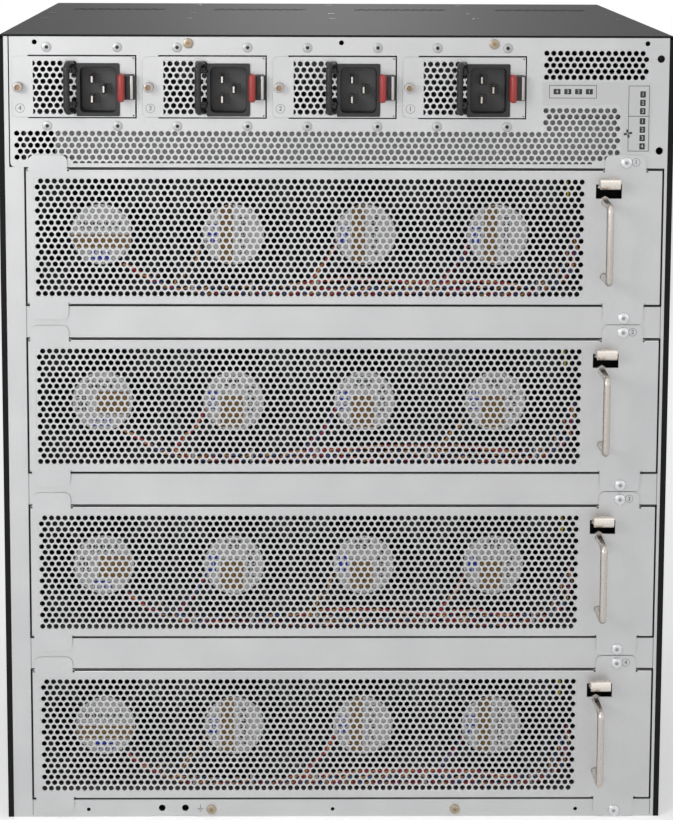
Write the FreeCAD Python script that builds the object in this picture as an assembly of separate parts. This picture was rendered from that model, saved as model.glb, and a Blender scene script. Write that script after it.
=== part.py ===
import FreeCAD, Part
import math
import os

# Modular chassis switch, seen from its rear: four power supplies above four fan trays.
# Millimetres. X runs left to right as seen from the rear, Y from the rear face to the front, Z up.
# The origin is the centre of the footprint, on the underside.

V = FreeCAD.Vector

# ---- Chassis ----
width = 442.0
depth = 447.0
height = 530.0
cover_sheet = 1.2
cover_bend = 2.4
cover_lip = 3.6
frame_sheet = 1.5
cage_sheet = 1.2
bottom_sheet = 1.5
front_sheet = 1.5
assembly_gap = 0.2
fit_gap = 0.3
small_corner = 3.0

# ---- Vents in the cover's top ----
top_vent_count = 4
top_vent_pitch = 108.8
top_vent_length = 78.0
top_vent_width = 24.0
top_vent_from_front = 104.0
top_vent_hole = 5.2
top_vent_hole_pitch = 7.0
cover_screw_columns = 5
cover_screw_pitch = 104.5
cover_screw_rows = (30.0, 166.0, 238.0)
cover_screw_radius = 2.6

# ---- Front slots, closed by blank panels ----
slot_count = 12
slot_margin = 13.0
slot_gap = 1.6
blank_sheet = 1.2
blank_side_margin = 9.0
blank_screw_radius = 3.0
blank_screw_inset = 9.0

# ---- Fan tray openings in the rear frame ----
tray_count = 4
tray_pitch = 113.0
tray_open_height = 92.2
tray_open_bottom = 12.05
tray_open_left = -204.8
tray_open_right = 215.4
tray_edge_gap = 1.1

# ---- Fan tray face plate ----
tray_sheet = 1.2
tray_depth = 96.0
tab_radius = 4.0
tab_notch = 1.6
left_tab_inset = 1.9
left_tab_width = 25.2
left_tab_up = 9.0
left_tab_down = 9.5
right_tab_inset = 11.1
right_tab_width = 26.8
right_tab_up = 9.8
right_tab_down = 12.3
tab_screw_x = 190.1
tab_screw_up = 5.0
tab_screw_down = 8.3
screw_head_radius = 4.0
screw_head_height = 2.4
head_chamfer = 0.6
screw_shank_radius = 1.5
screw_shank_length = 9.0
screw_clearance = 0.3
grille_left = -198.0
grille_right = 163.4
grille_edge = 6.0
hex_hole_radius = 3.9
hex_hole_pitch = 9.0

# ---- Fans ----
fan_count = 4
fan_pitch = 88.0
fan_first_x = -156.3
fan_drop = 1.0
fan_setback = 22.6
fan_size = 80.0
fan_depth = 38.0
fan_bore_radius = 38.0
fan_hub_radius = 21.0
fan_hub_thickness = 6.0
fan_strut_width = 4.0
fan_shaft_radius = 2.0
fan_shaft_clearance = 0.15
rotor_gap = 1.5
rotor_length = 27.0
rotor_hub_radius = 20.5
blade_count = 7
blade_tip_reach = 35.2
blade_chord = 21.0
blade_thickness = 1.6
blade_root_angle = 52.0
blade_tip_angle = 30.0

# ---- Fan tray handle, latch, wiring ----
rod_radius = 2.0
handle_x = 176.7
handle_span = 49.6
handle_reach = 31.0
handle_bend = 7.0
handle_nut_radius = 4.0
handle_nut_length = 3.0
latch_window_width = 17.0
latch_window_height = 13.0
latch_window_x = 179.0
latch_window_top = 5.2
latch_side_gap = 1.2
latch_sheet = 1.0
latch_reach = 14.0
latch_roll_radius = 3.0
latch_travel = 4.5
latch_web_height = 6.2
harness_radius = 2.6
harness_branch_radius = 1.2
harness_left = -116.0
harness_right = 141.0
harness_height = 8.0
harness_setback = 10.0
plug_width = 30.0
plug_height = 14.0
plug_x = 188.0

# ---- Power panel and its bays ----
panel_left = -213.6
panel_bottom_gap = 0.0
bay_count = 4
bay_pitch = 84.9
bay_right = -130.7
bay_width = 70.8
bay_height = 41.4
bay_bottom = 475.3
bay_screw_x = (-12.5, -58.4)
bay_screw_offset = 5.0
flat_screw_radius = 3.1
flat_screw_tip_radius = 1.6
flat_screw_depth = 1.4
flat_screw_length = 6.0
pan_screw_radius = 3.3
pan_screw_height = 1.6
top_pan_screw_x = (-97.0, 102.6)
top_pan_screw_drop = 4.2
peg_hole_x = (-197.0, 2.8, 202.8)
peg_hole_drop = 3.6
peg_hole_radius = 1.65
side_hole_x = 211.8
side_hole_z = (515.0, 454.8)
side_hole_radius = 2.5
band_left = -211.4
band_right = 184.2
band_height = 22.6
band_clear = 0.6
block_left = 134.8
block_right = 184.2
block_height = 16.0
corner_left = 134.8
corner_right = 202.4
corner_height = 19.4
corner_top_drop = 7.8
baffle_setback = 5.5
baffle_left = -185.0
baffle_right = 187.5
baffle_flag_left = 130.0
baffle_flag_height = 9.5

# ---- Bottom edge of the rear frame ----
lug_spacing = 15.8
lug_x = -108.9
lug_z = 6.2
lug_hole_radius = 2.3
strip_z = 5.2
strip_pan_screw_x = (-83.4, 82.1)
strip_key_x = (-166.6, -1.0, 164.2)
strip_key_radius = 1.3
foot_notches = ((-122.8, -94.8), (183.5, 196.0))
foot_notch_height = 0.8

# ---- Power supplies ----
psu_edge_gap = 0.9
psu_sheet = 1.0
psu_depth = 235.0
psu_ear = 81.0
psu_case_left = 70.0
psu_grille_left = 67.4
psu_grille_right = 43.8
psu_grille_margin = 2.6
psu_hole_radius = 1.9
psu_hole_pitch = 4.5
thumb_x = 76.9
thumb_radius = 2.8
thumb_length = 7.5
inlet_right = 10.9
inlet_width = 28.3
inlet_height = 34.6
inlet_lift = 0.7
inlet_lip = 1.0
inlet_proud = 1.2
inlet_depth = 22.0
socket_width = 23.2
socket_height = 29.7
socket_depth = 18.0
socket_radius = 3.0
blade_setback = 4.6
pin_thickness = 2.0
pin_height = 7.6
pin_spacing = 13.0
line_pin_x = 29.3
earth_pin_x = 21.7
bail_radius = 2.1
bail_pivot_x = 41.2
bail_pivot_reach = 3.4
bail_lean = 18.0
bail_length = 10.8
bail_half_span = 15.4
bail_bend = 3.6
bail_pin_length = 6.2
ear_sheet = 1.2
ear_radius = 3.0
pivot_clearance = 0.15
lever_x = 5.0
lever_sheet = 0.8
lever_half_height = 6.5
lever_reach = 5.0
lever_pivot_depth = 45.0
lever_pin_radius = 1.5
lever_eye_radius = 2.6
lever_window_left = 9.6
lever_window_right = 2.0
lever_window_half_height = 8.2
lever_nose_setback = 7.0
lever_nose_length = 7.0
lever_nose_half_height = 4.0
tab_left = 11.7
tab_right = 7.0
tab_half_height = 9.2
tab_from = 3.5
tab_to = 12.8

# ---- Midplane ----
midplane_setback = 12.0
midplane_sheet = 2.4

# ---- Derived places ----
left = -width / 2
right = width / 2
rear = -depth / 2
front = depth / 2
frame_left = left + cover_lip + assembly_gap
frame_right = right - cover_lip - assembly_gap
frame_inside = rear + frame_sheet
under_cover = height - cover_sheet - assembly_gap
tray_open_top = tray_open_bottom + (tray_count - 1) * tray_pitch + tray_open_height
plate_left = tray_open_left + tray_edge_gap
plate_right = tray_open_right - tray_edge_gap
plate_bottom = tray_open_bottom + tray_edge_gap
plate_top = tray_open_bottom + tray_open_height - tray_edge_gap
plate_back = rear - fit_gap
plate_front = plate_back - tray_sheet
tray_end = plate_back + tray_depth
midplane_rear = tray_end + midplane_setback
cage_left = plate_left - fit_gap - cage_sheet
cage_right = plate_right + fit_gap + cage_sheet
cage_end = front - blank_sheet - front_sheet - assembly_gap
fan_z = (plate_bottom + plate_top) / 2 - fan_drop
fan_rear = plate_back + fan_setback
fan_front = fan_rear + fan_depth
rotor_rear = fan_rear + fan_hub_thickness + rotor_gap
bay_top = bay_bottom + bay_height
bay_middle = bay_bottom + bay_height / 2
psu_bottom = bay_bottom + psu_edge_gap
psu_top = bay_top - psu_edge_gap
psu_back = rear - fit_gap
psu_front = psu_back - psu_sheet
psu_end = psu_back + psu_depth
psu_right = bay_right - psu_edge_gap
inlet_bottom = psu_bottom + inlet_lift
inlet_middle = inlet_bottom + inlet_height / 2
lever_pivot_y = psu_back + lever_pivot_depth
bail_y = psu_front - bail_pivot_reach
bail_x = bay_right - bail_pivot_x
shelf_top = psu_bottom - fit_gap
latch_top = plate_top - latch_window_top
latch_bottom = latch_top - latch_window_height


def box(x0, x1, y0, y1, z0, z1):
    return Part.makeBox(x1 - x0, y1 - y0, z1 - z0, V(x0, y0, z0))


def rod(radius, start, end):
    along = end - start
    return Part.makeCylinder(radius, along.Length, start, along)


def corner_wire(corners, y):
    """A closed outline in the XZ plane; each corner is (x, z, radius)."""
    edges = []
    starts = []
    ends = []
    count = len(corners)
    for i in range(count):
        x, z, radius = corners[i]
        here = V(x, y, z)
        before = V(corners[i - 1][0], y, corners[i - 1][1])
        after = V(corners[(i + 1) % count][0], y, corners[(i + 1) % count][1])
        if radius == 0:
            starts.append(here)
            ends.append(here)
            continue
        to_before = (before - here).normalize()
        to_after = (after - here).normalize()
        half = to_before.getAngle(to_after) / 2
        first = here + to_before * (radius / math.tan(half))
        last = here + to_after * (radius / math.tan(half))
        bisector = (to_before + to_after).normalize()
        middle = here + bisector * (radius / math.sin(half) - radius)
        edges.append(Part.Arc(first, middle, last).toShape())
        starts.append(first)
        ends.append(last)
    for i in range(count):
        edges.append(Part.makeLine(ends[i], starts[(i + 1) % count]))
    return Part.Wire(Part.__sortEdges__(edges))


def rectangle_wire(x0, x1, z0, z1, radius, y):
    return corner_wire([(x0, z0, radius), (x1, z0, radius), (x1, z1, radius), (x0, z1, radius)], y)


def circle_wire(x, z, radius, y):
    return Part.Wire(Part.makeCircle(radius, V(x, y, z), V(0, 1, 0)))


def hexagon_wire(x, z, radius, y):
    points = []
    for i in range(7):
        angle = math.radians(60 * i + 30)
        points.append(V(x + radius * math.cos(angle), y, z + radius * math.sin(angle)))
    return Part.makePolygon(points)


def sheet(outline, holes, thickness):
    """A flat sheet in the XZ plane, thickened towards the front."""
    face = Part.makeFace([outline] + holes, "Part::FaceMakerBullseye")
    return face.extrude(V(0, thickness, 0))


def staggered(x0, x1, z0, z1, pitch, radius):
    """Centres of a staggered field of holes that fills a rectangle."""
    rise = pitch * math.sin(math.radians(60))
    columns = int((x1 - x0 - 2 * radius - pitch / 2) / pitch) + 1
    rows = int((z1 - z0 - 2 * radius) / rise) + 1
    first_x = (x0 + x1 - (columns - 0.5) * pitch) / 2
    first_z = (z0 + z1 - (rows - 1) * rise) / 2
    centres = []
    for row in range(rows):
        for column in range(columns):
            x = first_x + (column + 0.5 * (row % 2)) * pitch
            centres.append((x, first_z + row * rise))
    return centres


def bent_path(points, radii):
    """Straight runs through the points, joined by tangent arcs."""
    edges = []
    start = points[0]
    for i in range(1, len(points) - 1):
        corner = points[i]
        to_before = (points[i - 1] - corner).normalize()
        to_after = (points[i + 1] - corner).normalize()
        half = to_before.getAngle(to_after) / 2
        first = corner + to_before * (radii[i - 1] / math.tan(half))
        last = corner + to_after * (radii[i - 1] / math.tan(half))
        bisector = (to_before + to_after).normalize()
        middle = corner + bisector * (radii[i - 1] / math.sin(half) - radii[i - 1])
        edges.append(Part.makeLine(start, first))
        edges.append(Part.Arc(first, middle, last).toShape())
        start = last
    edges.append(Part.makeLine(start, points[-1]))
    return Part.Wire(edges)


def bent_rod(points, radii, radius):
    path = bent_path(points, radii)
    ring = Part.Wire(Part.makeCircle(radius, points[0], points[1] - points[0]))
    return path.makePipeShell([ring], True, False)


def easy_bends(points):
    """The largest tangent arc that each pair of runs leaves room for."""
    radii = []
    for i in range(1, len(points) - 1):
        run_in = points[i] - points[i - 1]
        run_out = points[i + 1] - points[i]
        turn = run_in.getAngle(run_out)
        radii.append(0.45 * min(run_in.Length, run_out.Length) / math.tan(turn / 2))
    return radii


def save(name, shapes):
    shape = shapes[0] if len(shapes) == 1 else Part.makeCompound(shapes)
    shape.exportStep(os.path.join("parts", name + ".step"))


# ---- Chassis pieces ----

def make_cover():
    """Top and both sides, folded from one sheet, with a narrow return at each end of each side."""
    inner_bend = cover_bend - cover_sheet
    corners = [
        (left, 0, 0), (left, height, cover_bend), (right, height, cover_bend), (right, 0, 0),
        (right - cover_sheet, 0, 0), (right - cover_sheet, height - cover_sheet, inner_bend),
        (left + cover_sheet, height - cover_sheet, inner_bend), (left + cover_sheet, 0, 0),
    ]
    cover = sheet(corner_wire(corners, rear), [], depth)
    lips = []
    for y0 in (rear, front - cover_sheet):
        for x0 in (left, right - cover_lip):
            lips.append(box(x0, x0 + cover_lip, y0, y0 + cover_sheet, 0, height - cover_bend))
    cover = cover.multiFuse(lips)
    cuts = []
    vent_y = front - top_vent_from_front
    for i in range(top_vent_count):
        x = (i - (top_vent_count - 1) / 2) * top_vent_pitch
        centres = staggered(x - top_vent_length / 2, x + top_vent_length / 2,
                            vent_y - top_vent_width / 2, vent_y + top_vent_width / 2,
                            top_vent_hole_pitch, top_vent_hole / 2)
        for hole_x, hole_y in centres:
            hexagon = hexagon_wire(hole_x, hole_y, top_vent_hole / 2, 0)
            hexagon.rotate(V(0, 0, 0), V(1, 0, 0), 90)
            hexagon.translate(V(0, 2 * hole_y, height - 2 * cover_sheet))
            cuts.append(Part.Face(hexagon).extrude(V(0, 0, 3 * cover_sheet)))
    for x, y in cover_screw_places():
        cuts.append(Part.makeCylinder(cover_screw_radius + assembly_gap, 2 * cover_sheet,
                                      V(x, y, height - 2 * cover_sheet)))
    return cover.cut(Part.makeCompound(cuts)).removeSplitter()


def cover_screw_places():
    places = []
    for from_front in cover_screw_rows:
        for i in range(cover_screw_columns):
            x = (i - (cover_screw_columns - 1) / 2) * cover_screw_pitch
            places.append((x, front - from_front))
    return places


def make_bottom():
    inside = left + cover_sheet + assembly_gap
    return box(inside, -inside, frame_inside, cage_end, 0, bottom_sheet)


def make_front():
    """A frame sheet with a row of blank slot covers riveted on it."""
    y0 = front - blank_sheet - front_sheet
    x0 = left + cover_lip + assembly_gap
    outline = rectangle_wire(x0, -x0, 0, under_cover, 0, y0)
    panel = sheet(outline, [], front_sheet)
    slot_height = (under_cover - 2 * slot_margin) / slot_count
    blanks = []
    for i in range(slot_count):
        z0 = slot_margin + i * slot_height
        z1 = z0 + slot_height - slot_gap
        middle = (z0 + z1) / 2
        holes = []
        for x in (x0 + blank_side_margin + blank_screw_inset, -x0 - blank_side_margin - blank_screw_inset):
            holes.append(circle_wire(x, middle, blank_screw_radius, front - blank_sheet))
        blank = rectangle_wire(x0 + blank_side_margin, -x0 - blank_side_margin, z0, z1,
                               small_corner, front - blank_sheet)
        blanks.append(sheet(blank, holes, blank_sheet))
    return panel.multiFuse(blanks)


def make_rear_frame():
    """The plain steel face round the fan trays, open at the top where the power panel closes it."""
    strip_right = panel_left - 4 * assembly_gap
    pieces = [
        box(frame_left, tray_open_left, rear, frame_inside, 0, tray_open_top),
        box(frame_left, strip_right, rear, frame_inside, tray_open_top, under_cover),
        box(tray_open_right, frame_right, rear, frame_inside, 0, tray_open_top),
    ]
    for i in range(tray_count):
        z1 = tray_open_bottom + i * tray_pitch
        z0 = 0 if i == 0 else z1 - (tray_pitch - tray_open_height)
        pieces.append(box(tray_open_left, tray_open_right, rear, frame_inside, z0, z1))
    frame = pieces[0].multiFuse(pieces[1:])
    cuts = []
    for z in tab_screw_heights():
        if z < tray_open_top:
            cuts.append(frame_hole(tab_screw_x, z, screw_shank_radius + screw_clearance))
    for x in (lug_x - lug_spacing / 2, lug_x + lug_spacing / 2):
        cuts.append(frame_hole(x, lug_z, lug_hole_radius))
    for x in strip_key_x:
        cuts.append(frame_hole(x, strip_z, strip_key_radius))
    for x in strip_pan_screw_x:
        cuts.append(frame_hole(x, strip_z, screw_shank_radius + assembly_gap))
    for x0, x1 in foot_notches:
        cuts.append(box(x0, x1, rear - frame_sheet, frame_inside + frame_sheet, -1, foot_notch_height))
    return frame.cut(Part.makeCompound(cuts))


def frame_hole(x, z, radius):
    return rod(radius, V(x, rear - frame_sheet, z), V(x, frame_inside + frame_sheet, z))


def tab_screw_heights():
    heights = []
    for i in range(tray_count):
        heights.append(plate_bottom - tab_screw_down + i * tray_pitch)
        heights.append(plate_top + tab_screw_up + i * tray_pitch)
    return heights


def bay_rights():
    return [bay_right + i * bay_pitch for i in range(bay_count)]


def flat_screw_places():
    places = []
    for edge in bay_rights():
        for x in bay_screw_x:
            places.append((edge + x, bay_top + bay_screw_offset))
            places.append((edge + x, bay_bottom - bay_screw_offset))
    return places


def pan_screw_places():
    places = [(x, under_cover - top_pan_screw_drop) for x in top_pan_screw_x]
    return places + [(x, strip_z) for x in strip_pan_screw_x]


def vent_centres():
    band_bottom = tray_open_top + band_clear
    band_top = band_bottom + band_height
    corner_top = under_cover - corner_top_drop
    radius = hex_hole_radius
    centres = staggered(band_left, band_right, band_bottom, band_top, hex_hole_pitch, radius)
    centres += staggered(block_left, block_right, band_top, band_top + block_height,
                         hex_hole_pitch, radius)
    centres += staggered(corner_left, corner_right, corner_top - corner_height, corner_top,
                         hex_hole_pitch, radius)
    return centres


def under_tray_tab(x, z):
    reach = hex_hole_radius + 1
    if z > plate_top + (tray_count - 1) * tray_pitch + right_tab_up + reach:
        return False
    on_left = plate_left + left_tab_inset - reach < x < plate_left + left_tab_inset + left_tab_width + reach
    on_right = x > plate_right - right_tab_inset - right_tab_width - reach
    return on_left or on_right


def make_power_panel():
    """The upper rear face, with the four supply bays and the vents."""
    outline = corner_wire([
        (panel_left, tray_open_top + panel_bottom_gap, small_corner),
        (frame_right, tray_open_top + panel_bottom_gap, 0),
        (frame_right, under_cover, 0), (panel_left, under_cover, 0),
    ], rear)
    holes = []
    for edge in bay_rights():
        holes.append(rectangle_wire(edge - bay_width, edge, bay_bottom, bay_top, 0, rear))
        holes.append(circle_wire(edge - thumb_x, bay_middle, screw_shank_radius + screw_clearance, rear))
    for x, z in vent_centres():
        if not under_tray_tab(x, z):
            holes.append(hexagon_wire(x, z, hex_hole_radius, rear))
    for x in peg_hole_x:
        holes.append(circle_wire(x, under_cover - peg_hole_drop, peg_hole_radius, rear))
    for z in side_hole_z:
        holes.append(circle_wire(side_hole_x, z, side_hole_radius, rear))
    for x in top_pan_screw_x:
        holes.append(circle_wire(x, under_cover - top_pan_screw_drop,
                                 screw_shank_radius + assembly_gap, rear))
    top_screw_z = plate_top + tab_screw_up + (tray_count - 1) * tray_pitch
    holes.append(circle_wire(tab_screw_x, top_screw_z, screw_shank_radius + screw_clearance, rear))
    panel = sheet(outline, holes, frame_sheet)
    sinks = []
    for x, z in flat_screw_places():
        sinks.append(flat_screw(x, z, assembly_gap / 4, frame_sheet))
    return panel.cut(Part.makeCompound(sinks))


def flat_screw(x, z, grow, length):
    """A countersunk screw, flush with the rear face."""
    head = Part.makeCone(flat_screw_radius + grow, flat_screw_tip_radius + grow, flat_screw_depth,
                         V(x, rear, z), V(0, 1, 0))
    shank = rod(flat_screw_tip_radius + grow, V(x, rear, z), V(x, rear + length, z))
    return head.fuse(shank)


def make_screws():
    screws = []
    for x, z in flat_screw_places():
        screws.append(flat_screw(x, z, 0, flat_screw_length))
    for x, z in pan_screw_places():
        head = Part.makeCylinder(pan_screw_radius, pan_screw_height, V(x, rear, z), V(0, -1, 0))
        head = head.makeChamfer(head_chamfer, [head.Edges[0]])
        screws.append(head.fuse(rod(screw_shank_radius, V(x, rear, z), V(x, rear + screw_shank_length, z))))
    for x, y in cover_screw_places():
        screws.append(Part.makeCylinder(cover_screw_radius, 2 * cover_sheet,
                                        V(x, y, height - 2 * cover_sheet)))
    return screws


def make_cage():
    """Side walls, tray shelves, plenum ceiling, supply shelf with dividers and the baffle behind the vents."""
    inner_left = cage_left + cage_sheet
    inner_right = cage_right - cage_sheet
    sheets = [
        box(cage_left, inner_left, frame_inside, cage_end, bottom_sheet, under_cover),
        box(inner_right, cage_right, frame_inside, cage_end, bottom_sheet, under_cover),
    ]
    shelf_end = midplane_rear - assembly_gap
    for i in range(tray_count):
        z = plate_bottom - fit_gap + i * tray_pitch
        sheets.append(box(inner_left, inner_right, frame_inside, shelf_end, z - cage_sheet, z))
    ceiling = tray_open_top + fit_gap
    sheets.append(box(inner_left, inner_right, frame_inside, shelf_end, ceiling, ceiling + cage_sheet))
    back = psu_end + fit_gap
    sheets.append(box(inner_left, inner_right, frame_inside, back + cage_sheet,
                      shelf_top - cage_sheet, shelf_top))
    sheets.append(box(inner_left, inner_right, back, back + cage_sheet, shelf_top, under_cover))
    for edge in bay_rights():
        x = edge + (bay_pitch - bay_width) / 4
        sheets.append(box(x, x + cage_sheet, frame_inside + screw_shank_length, back, shelf_top, psu_top))
    baffle = frame_inside + baffle_setback
    sheets.append(box(baffle_left, baffle_right, baffle, baffle + cage_sheet,
                      ceiling + cage_sheet, shelf_top - cage_sheet))
    sheets.append(box(baffle_flag_left, baffle_right, baffle, baffle + cage_sheet,
                      shelf_top, shelf_top + baffle_flag_height))
    return sheets


def make_midplane():
    """The board that the fan trays plug into, with one socket block a tray."""
    board = box(plate_left, plate_right, midplane_rear, midplane_rear + midplane_sheet,
                bottom_sheet + fit_gap, tray_open_top)
    blocks = []
    for i in range(tray_count):
        z = fan_z + i * tray_pitch
        blocks.append(box(plug_x - plug_width / 2, plug_x + plug_width / 2, tray_end + fit_gap,
                          midplane_rear, z - plug_height / 2, z + plug_height / 2))
    return board.multiFuse(blocks)


# ---- Fan tray pieces, made for the lowest tray ----

def tray_outline():
    """The face plate with its four screw tabs and the relief notches beside them."""
    l0 = plate_left + left_tab_inset
    l1 = l0 + left_tab_width
    r1 = plate_right - right_tab_inset
    r0 = r1 - right_tab_width
    n = tab_notch
    b = plate_bottom
    t = plate_top
    return corner_wire([
        (plate_left, b, 0), (l0 - n, b, 0), (l0 - n, b + n, 0), (l0, b + n, 0),
        (l0, b - left_tab_down, tab_radius), (l1, b - left_tab_down, tab_radius),
        (l1, b + n, 0), (l1 + n, b + n, 0), (l1 + n, b, 0),
        (r0 - n, b, 0), (r0 - n, b + n, 0), (r0, b + n, 0),
        (r0, b - right_tab_down, tab_radius), (r1, b - right_tab_down, tab_radius),
        (r1, b + n, 0), (r1 + n, b + n, 0), (r1 + n, b, 0),
        (plate_right, b, 0), (plate_right, t, 0),
        (r1 + n, t, 0), (r1 + n, t - n, 0), (r1, t - n, 0),
        (r1, t + right_tab_up, tab_radius), (r0, t + right_tab_up, tab_radius),
        (r0, t - n, 0), (r0 - n, t - n, 0), (r0 - n, t, 0),
        (l1 + n, t, 0), (l1 + n, t - n, 0), (l1, t - n, 0),
        (l1, t + left_tab_up, tab_radius), (l0, t + left_tab_up, tab_radius),
        (l0, t - n, 0), (l0 - n, t - n, 0), (l0 - n, t, 0), (plate_left, t, 0),
    ], plate_front)


def make_tray_plate():
    holes = []
    for x, z in staggered(grille_left, grille_right, plate_bottom + grille_edge, plate_top - grille_edge,
                          hex_hole_pitch, hex_hole_radius):
        holes.append(hexagon_wire(x, z, hex_hole_radius, plate_front))
    half = latch_window_width / 2
    holes.append(rectangle_wire(latch_window_x - half, latch_window_x + half,
                                latch_bottom, latch_top, 0, plate_front))
    for z in handle_heights():
        holes.append(circle_wire(handle_x, z, rod_radius + assembly_gap / 4, plate_front))
    screw_heights = (plate_bottom - tab_screw_down, plate_top + tab_screw_up)
    for z in screw_heights:
        holes.append(circle_wire(tab_screw_x, z, screw_shank_radius + assembly_gap / 4, plate_front))
    pieces = [sheet(tray_outline(), holes, tray_sheet)]
    for z in screw_heights:
        pieces.append(captive_screw(tab_screw_x, z, plate_front, screw_head_radius, screw_head_height))
    return pieces


def captive_screw(x, z, seat, head_radius, head_height):
    head = Part.makeCylinder(head_radius, head_height, V(x, seat, z), V(0, -1, 0))
    head = head.makeChamfer(head_chamfer, [head.Edges[0]])
    return head.fuse(rod(screw_shank_radius, V(x, seat, z), V(x, seat + screw_shank_length, z)))


def handle_heights():
    middle = (plate_bottom + plate_top) / 2 - fan_drop
    return (middle - handle_span / 2, middle + handle_span / 2)


def make_tray_handle():
    """A bent rod whose ends pass through the face plate into nuts."""
    low, high = handle_heights()
    reach = plate_front - handle_reach
    inside = plate_back + handle_nut_length
    bar = bent_rod([V(handle_x, inside, low), V(handle_x, reach, low), V(handle_x, reach, high),
                    V(handle_x, inside, high)], [handle_bend, handle_bend], rod_radius)
    nuts = []
    for z in (low, high):
        nuts.append(rod(handle_nut_radius, V(handle_x, plate_back, z), V(handle_x, inside, z)))
    return bar.multiFuse(nuts)


def make_tray_latch():
    """A sprung sheet tongue behind the plate, with a rolled thumb edge standing out of the window."""
    half = latch_window_width / 2 - latch_side_gap
    x0 = latch_window_x - half
    x1 = latch_window_x + half
    web_rear = plate_back + fit_gap
    tongue_top = latch_top - latch_sheet / 2
    roll_y = plate_front - latch_reach + latch_roll_radius
    web = box(x0, x1, web_rear, web_rear + latch_sheet, tongue_top - latch_web_height, tongue_top)
    tongue = box(x0, x1, roll_y, web_rear + latch_sheet, tongue_top - latch_sheet, tongue_top)
    roll_z = tongue_top - latch_roll_radius
    roll = rod(latch_roll_radius, V(x0, roll_y, roll_z), V(x1, roll_y, roll_z))
    roll = roll.cut(rod(latch_roll_radius - latch_sheet, V(x0 - 1, roll_y, roll_z), V(x1 + 1, roll_y, roll_z)))
    mouth = box(x0 - 1, x1 + 1, roll_y, roll_y + 2 * latch_roll_radius,
                roll_z - latch_roll_radius, roll_z + latch_roll_radius - latch_sheet)
    return web.multiFuse([tongue, roll.cut(mouth)]).removeSplitter()


def fan_places():
    return [fan_first_x + i * fan_pitch for i in range(fan_count)]


def fan_housing(x):
    """A square frame with a round bore, and the fixed motor hub on four struts at its outlet side."""
    half = fan_size / 2
    body = box(x - half, x + half, fan_rear, fan_front, fan_z - half, fan_z + half)
    body = body.cut(rod(fan_bore_radius, V(x, fan_rear - 1, fan_z), V(x, fan_front + 1, fan_z)))
    hub = rod(fan_hub_radius, V(x, fan_rear, fan_z), V(x, fan_rear + fan_hub_thickness, fan_z))
    reach = fan_bore_radius + 1
    struts = []
    for angle in (45, 135, 225, 315):
        strut = box(-fan_strut_width / 2, fan_strut_width / 2, fan_rear + 1,
                    fan_rear + fan_hub_thickness, fan_hub_radius - 2, reach)
        strut.rotate(V(0, 0, 0), V(0, 1, 0), angle)
        strut.translate(V(x, 0, fan_z))
        struts.append(strut)
    shaft = rod(fan_shaft_radius, V(x, fan_rear + 1, fan_z), V(x, rotor_rear + rotor_length / 2, fan_z))
    return body.multiFuse([hub, shaft] + struts)


def make_tray_box():
    """The tray's floor, lid and sides, its fan wall, the plug at its front end and the four fan housings."""
    t = tray_sheet
    floor = box(plate_left, plate_right, plate_back, tray_end, plate_bottom, plate_bottom + t)
    lid = box(plate_left, plate_right, plate_back, tray_end, plate_top - t, plate_top)
    wall = box(plate_left + t, plate_right - t, fan_front, fan_front + t, plate_bottom + t, plate_top - t)
    for x in fan_places():
        wall = wall.cut(rod(fan_bore_radius, V(x, fan_front - 1, fan_z), V(x, fan_front + 3, fan_z)))
    pieces = [floor.cut(notch_slots(plate_bottom)), lid.cut(notch_slots(plate_top)), wall]
    for x in (plate_left, plate_right - t):
        pieces.append(box(x, x + t, plate_back, tray_end, plate_bottom + t, plate_top - t))
    pieces.append(box(plug_x - plug_width / 2, plug_x + plug_width / 2, fan_front + t, tray_end,
                      fan_z - plug_height / 2, fan_z + plug_height / 2))
    return pieces + [fan_housing(x) for x in fan_places()]


def notch_slots(z):
    """Relief slots in the shell where the screw tabs leave the face plate."""
    slots = []
    tabs = ((plate_left + left_tab_inset, left_tab_width),
            (plate_right - right_tab_inset - right_tab_width, right_tab_width))
    for x, length in tabs:
        slots.append(box(x - tab_notch, x + length + tab_notch, plate_back - 1, plate_back + tab_notch,
                         z - tab_notch, z + tab_notch))
    return Part.makeCompound(slots)


def make_harness():
    """The fan leads, tied in one bundle along the tray's floor and led up to the plug."""
    y = plate_back + harness_setback
    z = plate_bottom + harness_height
    span = harness_right - harness_left
    points = [
        V(harness_left, y, z + 1), V(harness_left + span * 0.2, y, z - 1),
        V(harness_left + span * 0.4, y + 1, z + 1), V(harness_left + span * 0.6, y, z),
        V(harness_left + span * 0.8, y + 1, z + 1.5), V(harness_right, y, z),
        V(harness_right + 14, y + 1, z + 14), V(harness_right + 18, y + 2, z + 34),
        V(harness_right + 22, y + 12, z + 44),
    ]
    bundle = bent_rod(points, easy_bends(points), harness_radius)
    branches = []
    for i, x in enumerate(fan_places()):
        side = 1 if i == 0 else -1
        exit_z = fan_z - fan_hub_radius * (0.85 if i == 0 else 0.3)
        exit_x = x + side * fan_hub_radius * (0.35 if i == 0 else 0.9)
        joins_x = max(x + side * 33, harness_left + 6)
        route = [
            V(exit_x, fan_rear - harness_branch_radius, exit_z),
            V((exit_x + joins_x) / 2, y + 2, (exit_z + z) / 2 + 4),
            V(joins_x, y, z + harness_radius / 2),
        ]
        branches.append(bent_rod(route, easy_bends(route), harness_branch_radius))
    return bundle.multiFuse(branches)


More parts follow.
